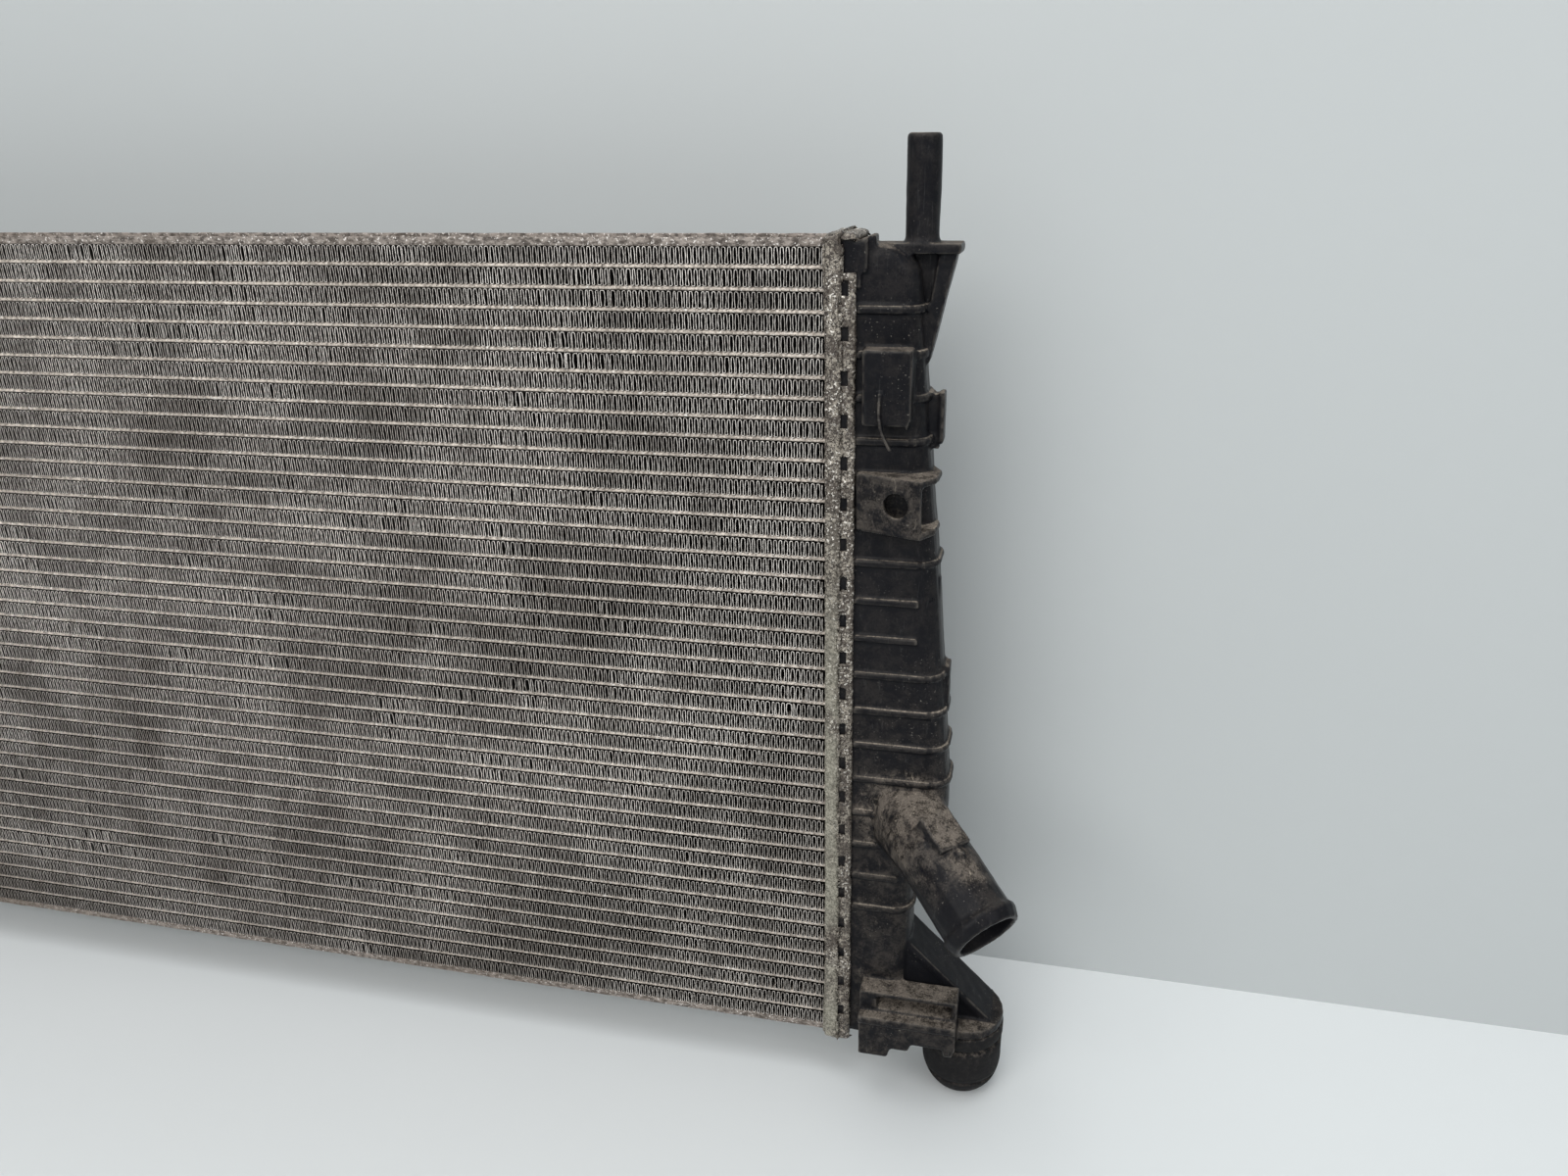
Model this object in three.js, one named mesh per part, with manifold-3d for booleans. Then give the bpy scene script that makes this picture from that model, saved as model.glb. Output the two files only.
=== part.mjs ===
// Car radiator: a brazed aluminium core between two crimped-on plastic side tanks.
// Millimetres, +Z up. The core runs along X and its front face looks towards -Y.
// The origin is under the middle of the part, at the height of the rubber feet.
import * as THREE from "three";
import { mergeVertices } from "three/addons/utils/BufferGeometryUtils.js";
import Module from "manifold-3d";

const wasm = await Module();
wasm.setup();

// ---- Driving dimensions ---------------------------------------------------------------

// Core
const CORE_LENGTH = 670;
const CORE_DEPTH = 26;
const TUBE_COUNT = 43;
const TUBE_PITCH = 9;
const TUBE_HEIGHT = 1.8;
const TUBE_DEPTH = 25;
const TUBE_WALL = 0.35;
const TUBE_NOSE = 0.9;
const TUBE_STICKS_OUT = 3.2;
const FIN_GAP = 0.3;
const FIN_TIE_WIDTH = 4;
const FIN_TIE_THICKNESS = 0.6;
const CORE_HEIGHT = TUBE_PITCH * (TUBE_COUNT + 1);

// Side plates, folded up from sheet as shallow channels
const SIDE_PLATE_SHEET = 1.2;
const SIDE_PLATE_HEIGHT = 4;
const SIDE_PLATE_INTO_CORE = 0.9;

// Header plates: a floor that takes the tube ends, and a wall crimped over the tank's foot
const HEADER_SHEET = 1.2;
const HEADER_FLOOR = 1.5;
const HEADER_OVERHANG = 4.5;
const HEADER_REACH = 13;
const HEADER_NOTCH_FROM = 7;
const HEADER_NOTCH_HEIGHT = 14;
const HEADER_END_FOLD = 1.2;
const CRIMP_LIP = 1.5;
const CRIMP_LIP_THICKNESS = 1.1;
const WINDOW_FIRST = 16.6;
const WINDOW_PITCH = 18.2;
const WINDOW_COUNT = 21;
const WINDOW_WIDTH = 3;
const WINDOW_HEIGHT = 5.4;
const WINDOW_CENTRE = 8.8;

// Gasket and the tank's foot, stacked on the header's floor
const CLEARANCE = 0.3;
const GASKET_THICKNESS = 1.4;
const GASKET_WIDTH = 3;
const FOOT_TOP = 11.5;

// Tank shell
const TANK_WALL = 3;
const TANK_ROOT = 13.4;
const BODY_INSET = 1;
const CORNER_RADIUS = 9;
const DOME_RADIUS = 15;
const DOME_TOP = -0.3;
const END_PINCH = 0.15;
const BODY_BOTTOM = -397;
const BOTTOM_RADIUS = 10;
const ARC_STEPS = 4;

// Ribs moulded round the tank, at a steady pitch down from the first
const RIB_FIRST = 25.2;
const RIB_PITCH = 18.2;
const RIB_THICKNESS = 2.8;
const RIB_PROUD = 1.8;
const SHORT_RIB_REACH = 42;

// Upper locating pin
const PIN_FROM_CORE = 37.4;
const PIN_RADIUS = 7;
const PIN_HEIGHT = 41.5;
const PIN_FLANGE_THICKNESS = 4;
const PIN_FLANGE_REACH = 54;
const PIN_FLANGE_FRONT = 5;

// Lower foot: an arm out to a peg, and the rubber bush pushed onto the peg
const PEG_FROM_CORE = 70.5;
const PEG_RADIUS = 6.5;
const PEG_LENGTH = 24;
const SEAT_RADIUS = 20.5;
const SEAT_BOTTOM = -386;
const SEAT_THICKNESS = 5;
const BUSH_RADIUS = 20.8;
const BUSH_HEIGHT = 42;
const BUSH_BORE = 7;
const BUSH_BORE_DEPTH = 27;
const BUSH_FLAT_RADIUS = 7;
const BUSH_DOME_STEPS = 5;
const BUSH_DOME_FROM = 22;
const BUSH_GROOVE = 8.2;
const BUSH_GROOVE_WIDTH = 3;

// Hose stubs, outlet low on the right and inlet high on the left
const STUB_RADIUS = 17;
const STUB_BORE = 13.8;
const STUB_BEAD = 18.2;
const STUB_LENGTH = 46;
const STUB_SIDES = 20;
const OUTLET_MOUTH = new THREE.Vector3(81.6, -50, -287.7);
const OUTLET_AXIS = new THREE.Vector3(0.62, -0.61, -0.49).normalize();
const INLET_MOUTH = new THREE.Vector3(84, -42, -62);
const INLET_AXIS = new THREE.Vector3(0.72, -0.69, 0).normalize();

// Drain plug on the left tank
const DRAIN_FROM_CORE = 32;
const DRAIN_HEIGHT = -334;
const DRAIN_BOSS_RADIUS = 10.5;
const DRAIN_BOSS_FACE = -11;
const DRAIN_BORE = 5;
const PLUG_SHANK = 4.7;
const PLUG_SHANK_LENGTH = 15;
const PLUG_HEAD_RADIUS = 9.5;
const PLUG_HEAD_THICKNESS = 4;
const PLUG_GRIP = [17, 7, 4.5];
const SEAL_THICKNESS = 1.7;
const SEAL_OUTER = 7.4;

// Where the part's own frame lies: the stubs reach further forward than the tanks reach back
const CORE_FRONT_Y = 15;
const CORE_TOP_Z = BUSH_HEIGHT + CLEARANCE - SEAT_BOTTOM;

// Tank faces, measured back from the core's front face
const HEADER_FRONT = -HEADER_OVERHANG;
const HEADER_BACK = CORE_DEPTH + HEADER_OVERHANG;
const HEADER_TOP = HEADER_OVERHANG;
const HEADER_BOTTOM = -CORE_HEIGHT - HEADER_OVERHANG;
const FOOT_FRONT = HEADER_FRONT + HEADER_SHEET + CLEARANCE;
const FOOT_BACK = HEADER_BACK - HEADER_SHEET - CLEARANCE;
const FOOT_UPPER = HEADER_TOP - HEADER_SHEET - CLEARANCE;
const FOOT_LOWER = HEADER_BOTTOM + HEADER_SHEET + CLEARANCE;
const GASKET_FACE = HEADER_FLOOR + CLEARANCE;
const FOOT_FACE = GASKET_FACE + GASKET_THICKNESS + CLEARANCE;
const BODY_FRONT = -BODY_INSET;
const BODY_BACK = CORE_DEPTH + BODY_INSET;
const MIDDLE_DEPTH = CORE_DEPTH / 2;

// How far the tank's outer wall stands from the core, at heights below the core's top
const RIGHT_REACH = [
  [-16, 38.7],
  [-73, 42.8],
  [-130, 48.6],
  [-197, 54.1],
  [-243, 57.7],
  [-262, 58],
  [-300, 43],
  [-387, 42],
];
const LEFT_REACH = [
  [-16, 42],
  [-40, 50],
  [-90, 52],
  [-190, 49],
  [-300, 46],
  [-387, 44],
];

// ---- Materials ------------------------------------------------------------------------

const plastic = () => new THREE.MeshStandardMaterial({ color: 0x1c1c1f, roughness: 0.6 });
const rubber = () => new THREE.MeshStandardMaterial({ color: 0x141414, roughness: 0.9 });
const aluminium = (color) =>
  new THREE.MeshStandardMaterial({ color, roughness: 0.55, metalness: 0.8 });
const tubeMetal = aluminium(0xc8beb4);
const finMetal = aluminium(0x6e6a66);
const headerMetal = aluminium(0x9a9389);
const sideMetal = aluminium(0x877e74);

// ---- Solids ---------------------------------------------------------------------------

// A three.js geometry as a manifold-3d solid, with its faces turned outwards.
function solid(geometry) {
  const bare = new THREE.BufferGeometry();
  bare.setAttribute("position", geometry.getAttribute("position").clone());
  if (geometry.index) bare.setIndex(geometry.index.clone());
  const merged = mergeVertices(bare, 1e-4);
  const triVerts = new Uint32Array(merged.index.array);
  const vertProperties = new Float32Array(merged.attributes.position.array);
  const made = new wasm.Manifold(new wasm.Mesh({ numProp: 3, vertProperties, triVerts }));
  if (made.volume() > 0) return made;
  const turned = triVerts.slice();
  for (let i = 0; i < turned.length; i += 3) {
    turned[i] = triVerts[i + 1];
    turned[i + 1] = triVerts[i];
  }
  return new wasm.Manifold(new wasm.Mesh({ numProp: 3, vertProperties, triVerts: turned }));
}

function geometryOf(made) {
  const mesh = made.getMesh();
  const geometry = new THREE.BufferGeometry();
  const points = new THREE.BufferAttribute(new Float32Array(mesh.vertProperties), 3);
  geometry.setAttribute("position", points);
  geometry.setIndex(new THREE.BufferAttribute(new Uint32Array(mesh.triVerts), 1));
  const flat = geometry.toNonIndexed();
  flat.computeVertexNormals();
  return flat;
}

const join = (pieces) => pieces.reduce((whole, piece) => whole.add(piece));
const cut = (whole, pieces) => pieces.reduce((rest, piece) => rest.subtract(piece), whole);

function namedMesh(name, made, material) {
  const mesh = new THREE.Mesh(geometryOf(made), material);
  mesh.name = name;
  return mesh;
}

function block(low, high) {
  const size = high.map((value, i) => value - low[i]);
  const geometry = new THREE.BoxGeometry(...size);
  geometry.translate(...low.map((value, i) => value + size[i] / 2));
  return solid(geometry);
}

function rod(from, to, startRadius, endRadius = startRadius, sides = 24) {
  const along = to.clone().sub(from);
  const geometry = new THREE.CylinderGeometry(endRadius, startRadius, along.length(), sides);
  const up = new THREE.Vector3(0, 1, 0);
  geometry.applyQuaternion(
    new THREE.Quaternion().setFromUnitVectors(up, along.clone().normalize()),
  );
  const middle = from.clone().add(to).multiplyScalar(0.5);
  geometry.translate(middle.x, middle.y, middle.z);
  return solid(geometry);
}

function turned(profile, sides = 24) {
  const points = profile.map(([radius, height]) => new THREE.Vector2(radius, height));
  const geometry = new THREE.LatheGeometry(points, sides);
  geometry.rotateX(Math.PI / 2);
  return geometry;
}

const outline = (points) => new THREE.Shape(points.map(([a, b]) => new THREE.Vector2(a, b)));
const extrude = (shape, depth) =>
  new THREE.ExtrudeGeometry(shape, { depth, bevelEnabled: false, curveSegments: ARC_STEPS });

// An outline seen from above (x, y), standing from height low to high.
function plate(points, low, high) {
  const geometry = extrude(outline(points), high - low);
  geometry.translate(0, 0, low);
  return solid(geometry);
}

// An outline seen from the front (x, z), running back from front to back.
function slab(points, front, back) {
  const geometry = extrude(outline(points), back - front);
  geometry.rotateX(Math.PI / 2);
  geometry.translate(0, back, 0);
  return solid(geometry);
}

// An outline seen from the end (y, z), running along x from near to far.
function bar(shape, near, far) {
  const geometry = extrude(shape, far - near);
  const x = new THREE.Vector3(1, 0, 0);
  const y = new THREE.Vector3(0, 1, 0);
  const z = new THREE.Vector3(0, 0, 1);
  geometry.applyMatrix4(new THREE.Matrix4().makeBasis(y, z, x));
  geometry.translate(near, 0, 0);
  return solid(geometry);
}

// A skin through convex sections that all have the same number of points, capped at both ends.
function loft(sections) {
  const ring = sections[0].length;
  const last = (sections.length - 1) * ring;
  const corners = sections.flat().flatMap((point) => point.toArray());
  const faces = [];
  for (let s = 0; s < last; s += ring) {
    for (let i = 0; i < ring; i++) {
      const next = (i + 1) % ring;
      faces.push(s + i, s + next, s + ring + next);
      faces.push(s + i, s + ring + next, s + ring + i);
    }
  }
  for (let i = 1; i < ring - 1; i++) {
    faces.push(0, i + 1, i);
    faces.push(last, last + i, last + i + 1);
  }
  const geometry = new THREE.BufferGeometry();
  geometry.setAttribute("position", new THREE.Float32BufferAttribute(corners, 3));
  geometry.setIndex(faces);
  return solid(geometry);
}

// ---- Core -----------------------------------------------------------------------------

const tubeHeightOf = (index) => -TUBE_PITCH * (index + 1);

function flatTubeOutline(depth, height, nose) {
  const front = MIDDLE_DEPTH - depth / 2;
  const back = MIDDLE_DEPTH + depth / 2;
  const half = height / 2;
  return [
    [front, 0],
    [front + nose, -half],
    [back - nose, -half],
    [back, 0],
    [back - nose, half],
    [front + nose, half],
  ];
}

function flatTube(height) {
  const raise = ([y, z]) => [y, z + height];
  const shape = outline(flatTubeOutline(TUBE_DEPTH, TUBE_HEIGHT, TUBE_NOSE).map(raise));
  const bore = flatTubeOutline(
    TUBE_DEPTH - 2 * TUBE_WALL,
    TUBE_HEIGHT - 2 * TUBE_WALL,
    TUBE_NOSE - TUBE_WALL,
  );
  shape.holes.push(outline(bore.map(raise)));
  const reach = CORE_LENGTH / 2 + TUBE_STICKS_OUT;
  return bar(shape, -reach, reach);
}

// The fin rows fill the gaps between the tubes. A narrow tie behind the tubes joins them.
function finPack() {
  const reach = CORE_LENGTH / 2 - CLEARANCE;
  const half = (TUBE_PITCH - TUBE_HEIGHT) / 2 - FIN_GAP;
  const rows = [];
  for (let row = 0; row <= TUBE_COUNT; row++) {
    const middle = -TUBE_PITCH * (row + 0.5);
    rows.push(block([-reach, 0, middle - half], [reach, CORE_DEPTH, middle + half]));
  }
  const low = -TUBE_PITCH * (TUBE_COUNT + 0.5) - half;
  const high = -TUBE_PITCH / 2 + half;
  const back = CORE_DEPTH + FIN_TIE_THICKNESS;
  const tie = block([-reach, CORE_DEPTH - 0.1, low], [-reach + FIN_TIE_WIDTH, back, high]);
  return join([...rows, tie]);
}

// A shallow channel whose web lies on the outermost fin row and whose edges turn away from it.
function sidePlate(outwards) {
  const reach = CORE_LENGTH / 2 - CLEARANCE;
  const inner = -outwards * SIDE_PLATE_INTO_CORE;
  const outer = inner + outwards * SIDE_PLATE_HEIGHT;
  const web = inner + outwards * SIDE_PLATE_SHEET;
  const profile = [
    [0, inner],
    [CORE_DEPTH, inner],
    [CORE_DEPTH, outer],
    [CORE_DEPTH - SIDE_PLATE_SHEET, outer],
    [CORE_DEPTH - SIDE_PLATE_SHEET, web],
    [SIDE_PLATE_SHEET, web],
    [SIDE_PLATE_SHEET, outer],
    [0, outer],
  ];
  const base = outwards > 0 ? 0 : -CORE_HEIGHT;
  const made = bar(outline(profile.map(([y, z]) => [y, z + base])), -reach, reach);
  return made;
}

// ---- Header plate ---------------------------------------------------------------------

function headerFloor() {
  const shape = outline([
    [HEADER_FRONT, HEADER_BOTTOM],
    [HEADER_BACK, HEADER_BOTTOM],
    [HEADER_BACK, HEADER_TOP],
    [HEADER_FRONT, HEADER_TOP],
  ]);
  const front = MIDDLE_DEPTH - TUBE_DEPTH / 2 - CLEARANCE;
  const back = MIDDLE_DEPTH + TUBE_DEPTH / 2 + CLEARANCE;
  const half = TUBE_HEIGHT / 2 + CLEARANCE;
  for (let i = 0; i < TUBE_COUNT; i++) {
    const z = tubeHeightOf(i);
    const slot = [
      [front, z - half],
      [back, z - half],
      [back, z + half],
      [front, z + half],
    ];
    shape.holes.push(outline(slot));
  }
  return bar(shape, 0, HEADER_FLOOR);
}

// One long wall of the header, its lip turned over the tank's foot.
function headerWall(outer, inwards) {
  const inner = outer + inwards * HEADER_SHEET;
  const lip = inner + inwards * CRIMP_LIP;
  const span = (a, b) => [Math.min(a, b), Math.max(a, b)];
  const [wallLow, wallHigh] = span(outer, inner);
  const [lipLow, lipHigh] = span(outer, lip);
  const wall = block([0, wallLow, HEADER_BOTTOM], [HEADER_REACH, wallHigh, HEADER_TOP]);
  const turnedIn = block(
    [HEADER_REACH - CRIMP_LIP_THICKNESS, lipLow, HEADER_BOTTOM],
    [HEADER_REACH, lipHigh, HEADER_TOP],
  );
  return wall.add(turnedIn);
}

function headerNotches() {
  const front = HEADER_FRONT - 1;
  const back = HEADER_BACK + 1;
  const from = HEADER_NOTCH_FROM;
  const inside = [HEADER_TOP - HEADER_SHEET, HEADER_BOTTOM + HEADER_SHEET];
  const far = HEADER_REACH + 1;
  return [
    block([from, front, inside[0] - HEADER_NOTCH_HEIGHT], [far, back, inside[0]]),
    block([from, front, inside[1]], [far, back, inside[1] + HEADER_END_FOLD]),
  ];
}

function crimpWindows() {
  const windows = [];
  const near = WINDOW_CENTRE - WINDOW_WIDTH / 2;
  for (let i = 0; i < WINDOW_COUNT; i++) {
    const middle = -WINDOW_FIRST - WINDOW_PITCH * i;
    windows.push(
      block(
        [near, HEADER_FRONT - 1, middle - WINDOW_HEIGHT / 2],
        [near + WINDOW_WIDTH, HEADER_BACK + 1, middle + WINDOW_HEIGHT / 2],
      ),
    );
  }
  return windows;
}

function headerPlate() {
  const ends = [
    block(
      [0, HEADER_FRONT, HEADER_TOP - HEADER_SHEET],
      [HEADER_REACH, HEADER_BACK, HEADER_TOP],
    ),
    block(
      [0, HEADER_FRONT, HEADER_BOTTOM],
      [HEADER_NOTCH_FROM, HEADER_BACK, HEADER_BOTTOM + HEADER_SHEET],
    ),
  ];
  const walls = cut(
    headerWall(HEADER_FRONT, 1).add(headerWall(HEADER_BACK, -1)),
    [...headerNotches(), ...crimpWindows()],
  );
  const fold = block(
    [HEADER_REACH - HEADER_END_FOLD, HEADER_FRONT + 3, HEADER_TOP - 2 * HEADER_SHEET],
    [HEADER_REACH, HEADER_BACK - 3, HEADER_TOP + HEADER_SHEET],
  );
  return join([headerFloor(), walls, ...ends, fold]);
}

function gasket() {
  const shape = outline([
    [FOOT_FRONT, FOOT_LOWER],
    [FOOT_BACK, FOOT_LOWER],
    [FOOT_BACK, FOOT_UPPER],
    [FOOT_FRONT, FOOT_UPPER],
  ]);
  const inner = [
    [FOOT_FRONT + GASKET_WIDTH, FOOT_LOWER + GASKET_WIDTH],
    [FOOT_BACK - GASKET_WIDTH, FOOT_LOWER + GASKET_WIDTH],
    [FOOT_BACK - GASKET_WIDTH, FOOT_UPPER - GASKET_WIDTH],
    [FOOT_FRONT + GASKET_WIDTH, FOOT_UPPER - GASKET_WIDTH],
  ];
  shape.holes.push(outline(inner));
  return bar(shape, GASKET_FACE, GASKET_FACE + GASKET_THICKNESS);
}

// ---- Tank shell -----------------------------------------------------------------------

function reachAt(reachTable, height) {
  const below = reachTable.findIndex(([z]) => z <= height);
  if (below === 0) return reachTable[0][1];
  if (below < 0) return reachTable[reachTable.length - 1][1];
  const [highZ, highReach] = reachTable[below - 1];
  const [lowZ, lowReach] = reachTable[below];
  return highReach + ((height - highZ) / (lowZ - highZ)) * (lowReach - highReach);
}

// The tank in plan: straight from the foot, round both outer corners and back again.
function planSection(start, reach, front, back, radius, height) {
  const points = [new THREE.Vector3(start, front, height)];
  const corner = (y, from) => {
    for (let i = 0; i <= ARC_STEPS; i++) {
      const angle = from + (i / ARC_STEPS) * (Math.PI / 2);
      const x = reach - radius + radius * Math.cos(angle);
      points.push(new THREE.Vector3(x, y + radius * Math.sin(angle), height));
    }
  };
  corner(front + radius, -Math.PI / 2);
  corner(back - radius, 0);
  points.push(new THREE.Vector3(start, back, height));
  return points;
}

// The shell's sections from the dome down to the rounded bottom, all pulled in by inset.
function shellSections(reachTable, start, inset) {
  const sections = [];
  const add = (height, reach, pinch) => {
    const front = BODY_FRONT + inset + pinch;
    const back = BODY_BACK - inset - pinch;
    const radius = CORNER_RADIUS - inset;
    sections.push(planSection(start, reach - inset, front, back, radius, height));
  };
  const rounded = (radius, edge, from, reach) => {
    for (let i = 0; i <= ARC_STEPS; i++) {
      const share = Math.abs(i - from) / ARC_STEPS;
      const drop = radius * (1 - Math.sin((share * Math.PI) / 2));
      const pull = radius * (1 - Math.cos((share * Math.PI) / 2));
      const height = edge > -radius * 2 ? edge - inset - drop : edge + inset + drop;
      add(height, reach - pull, pull * END_PINCH);
    }
  };
  rounded(DOME_RADIUS, DOME_TOP, ARC_STEPS, reachTable[0][1]);
  for (const [height, reach] of reachTable.slice(1)) add(height, reach, 0);
  rounded(BOTTOM_RADIUS, BODY_BOTTOM, 0, reachTable[reachTable.length - 1][1]);
  const falling = sections.filter((s, i) => i === 0 || s[0].z < sections[i - 1][0].z - 0.05);
  return falling;
}

const tankShell = (reachTable) => loft(shellSections(reachTable, FOOT_TOP - 1, 0));
const tankCavity = (reachTable) => loft(shellSections(reachTable, 0, TANK_WALL));

// The foot that the header's lip holds down, with the block that closes its upper corner.
function tankFoot() {
  const foot = block([FOOT_FACE, FOOT_FRONT, FOOT_LOWER], [FOOT_TOP, FOOT_BACK, FOOT_UPPER]);
  const upperBlock = block(
    [HEADER_NOTCH_FROM + CLEARANCE, FOOT_FRONT, -10.5],
    [17.5, FOOT_BACK, FOOT_UPPER - 0.4],
  );
  const blockTail = block([HEADER_REACH + 0.4, FOOT_FRONT, -17], [15, FOOT_BACK, -10]);
  const tab = block([17.4, 0, DOME_TOP - 3], [20.2, 4, 3.6]);
  const liningEdge = block([HEADER_REACH - 1, BODY_FRONT, -394], [TANK_ROOT + 1, 0, -12]);
  const fold = block(
    [HEADER_REACH - HEADER_END_FOLD - CLEARANCE, FOOT_FRONT, 1.5],
    [HEADER_REACH + 2, FOOT_BACK, FOOT_UPPER],
  );
  return cut(join([foot, upperBlock, blockTail, tab, liningEdge]), [fold]);
}

const ribHeight = (index) => -RIB_FIRST - RIB_PITCH * index;

function wrapRib(reachTable, index) {
  const middle = ribHeight(index);
  const reach = reachAt(reachTable, middle) + RIB_PROUD;
  const front = BODY_FRONT - RIB_PROUD;
  const back = BODY_BACK + RIB_PROUD;
  const radius = CORNER_RADIUS + RIB_PROUD;
  const section = (z) => planSection(TANK_ROOT, reach, front, back, radius, z);
  return loft([section(middle + RIB_THICKNESS / 2), section(middle - RIB_THICKNESS / 2)]);
}

function shortRib(index, reach) {
  const middle = ribHeight(index);
  const half = RIB_THICKNESS / 2;
  const front = BODY_FRONT - RIB_PROUD;
  return block([TANK_ROOT, front, middle - half], [reach, BODY_FRONT + 1, middle + half]);
}

// ---- Fittings moulded onto the tanks --------------------------------------------------

function upperPin() {
  const at = (height) => new THREE.Vector3(PIN_FROM_CORE, MIDDLE_DEPTH, height);
  const chamfer = 1;
  const flange = block([18, PIN_FLANGE_FRONT, -PIN_FLANGE_THICKNESS], [PIN_FLANGE_REACH, 23, 0]);
  const shaft = rod(at(-1), at(PIN_HEIGHT - chamfer), PIN_RADIUS);
  const tip = rod(at(PIN_HEIGHT - chamfer), at(PIN_HEIGHT), PIN_RADIUS, PIN_RADIUS - chamfer);
  const fillet = rod(at(-0.5), at(1.5), PIN_RADIUS + 1.6, PIN_RADIUS);
  return join([flange, shaft, tip, fillet]);
}

// Under the pin: a web in line with it and a sloping wall down to the tank's side.
function pinGusset() {
  const under = -PIN_FLANGE_THICKNESS + 0.5;
  const web = slab(
    [
      [34, under],
      [34, -40],
      [40.5, -38],
      [46, under],
    ],
    MIDDLE_DEPTH - 1.5,
    MIDDLE_DEPTH + 1.5,
  );
  const slope = slab(
    [
      [45, under],
      [52.3, under],
      [42.2, -48],
      [38, -48],
    ],
    8,
    20,
  );
  return web.add(slope);
}

// A pocket for a cable clip, open below and down its outer side, with a springy tongue.
function clipPocket() {
  const top = -40.4;
  const bottom = -71.6;
  const face = block([16.8, -10, bottom], [34, -7.6, top]);
  const nearWall = block([16.8, -10, bottom], [19, 0, top]);
  const roof = block([16.8, -10, top - 2.4], [37.3, 0, top]);
  const farWall = slab(
    [
      [35.3, top],
      [37.3, top],
      [37.3, bottom + 3],
      [35.3, bottom - 2],
    ],
    -10,
    0,
  );
  return join([face, nearWall, roof, farWall, clipTongue()]);
}

function clipTongue() {
  const route = new THREE.CatmullRomCurve3([
    new THREE.Vector3(24.5, -9.4, -58),
    new THREE.Vector3(24.3, -11.2, -66),
    new THREE.Vector3(25.6, -12.4, -73),
    new THREE.Vector3(29.5, -12.8, -81),
  ]);
  const section = outline([
    [-0.8, -1.9],
    [0.8, -1.9],
    [0.8, 1.9],
    [-0.8, 1.9],
  ]);
  return solid(
    new THREE.ExtrudeGeometry(section, { steps: 8, bevelEnabled: false, extrudePath: route }),
  );
}

// The box bracket that takes the fan shroud's screw: a slanting face with a hole, on two plates.
function shroudBracket() {
  const top = -93.3;
  const bottom = -119.2;
  const sheet = 2.9;
  const plan = [
    [TANK_ROOT + 0.6, -4],
    [43, -13.6],
    [48.5, -4],
    [49.5, 7],
    [46, 14],
    [TANK_ROOT + 0.6, 4],
  ];
  const face = plate(
    [
      [TANK_ROOT + 0.6, -4],
      [43, -13.6],
      [43, -10.4],
      [TANK_ROOT + 0.6, -0.8],
    ],
    bottom,
    top,
  );
  const hole = rod(
    new THREE.Vector3(30.5, -20, -105.6),
    new THREE.Vector3(32.5, -3, -105.6),
    5.5,
  );
  const whole = join([
    plate(plan, top - sheet, top),
    plate(plan, bottom, bottom + sheet),
    face,
  ]);
  return cut(whole, [hole]);
}

// A box-shaped lug on the tank's outer side, with a thin lip round its end.
function sideLug(near, far, low, high) {
  const body = block([near, 9, low], [far - 1.8, 17, high - 1]);
  const lip = block([far - 1.8, 8, low + 2.5], [far, 18, high]);
  return body.add(lip);
}

const wiringRail = () => block([46, 8, -181.5], [50.6, 12, -143]);

// The block behind the lower crossmember: a shelf, a pocket, a ledge and a stepped foot.
function lowerBlock() {
  const left = 19.5;
  const right = 68.5;
  const steps = [
    [left, -373],
    [left, -397],
    [34.4, -397],
    [36, -391.5],
    [45, -391.5],
    [46.5, -387],
    [right, -387],
    [right, -373],
  ];
  const tab = [
    [62, -386],
    [62.8, -391],
    [67, -391],
    [right, -386],
  ];
  const shelf = block([left, -12, -371.5], [right, 1, -360]);
  const ledge = block([left, -18, -375.5], [right, 1, -371]);
  const foot = slab(steps, -15.5, -8);
  const footBack = block([left, -15.5, -384], [right, 1, -373]);
  const pocket = block([28, -13, -369.5], [66, -3, -362.6]);
  const grooves = [-378.5, -383].map((z) => block([left - 1, -16.5, z], [right + 1, -14, z + 1.2]));
  return cut(join([shelf, ledge, foot, footBack, slab(tab, -15.5, -8)]), [pocket, ...grooves]);
}

// The arm that carries the lower peg: a web, a sloping flange over it, and the seat plate.
function lowerArm() {
  const seatTop = SEAT_BOTTOM + SEAT_THICKNESS;
  const tip = PEG_FROM_CORE + SEAT_RADIUS;
  const top = [38, -334];
  const shoulder = [85, -380.5];
  const web = slab([[36, -336], top, shoulder, [36, seatTop - 1]], 4, 8);
  const slope = slab(
    [
      top,
      shoulder,
      [shoulder[0], seatTop - 1],
      [shoulder[0] - 4, seatTop - 1],
      [top[0], top[1] - 5.5],
    ],
    3.4,
    27,
  );
  const at = (height) => new THREE.Vector3(PEG_FROM_CORE, MIDDLE_DEPTH, height);
  const seat = rod(at(SEAT_BOTTOM), at(seatTop), SEAT_RADIUS);
  const bridge = block([38, 3, SEAT_BOTTOM], [PEG_FROM_CORE, 23, seatTop]);
  const peg = rod(at(SEAT_BOTTOM + 1), at(SEAT_BOTTOM - PEG_LENGTH), PEG_RADIUS);
  return join([web, slope, seat, bridge, peg]);
}

// ---- Hose stubs -----------------------------------------------------------------------

function circleAround(centre, axis, radius, count) {
  const side = new THREE.Vector3(0, 0, 1).cross(axis).normalize();
  const rise = axis.clone().cross(side).normalize();
  return Array.from({ length: count }, (_, i) => {
    const angle = (2 * Math.PI * i) / count;
    const across = side.clone().multiplyScalar(radius * Math.cos(angle));
    return centre.clone().add(across).add(rise.clone().multiplyScalar(radius * Math.sin(angle)));
  });
}

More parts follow.
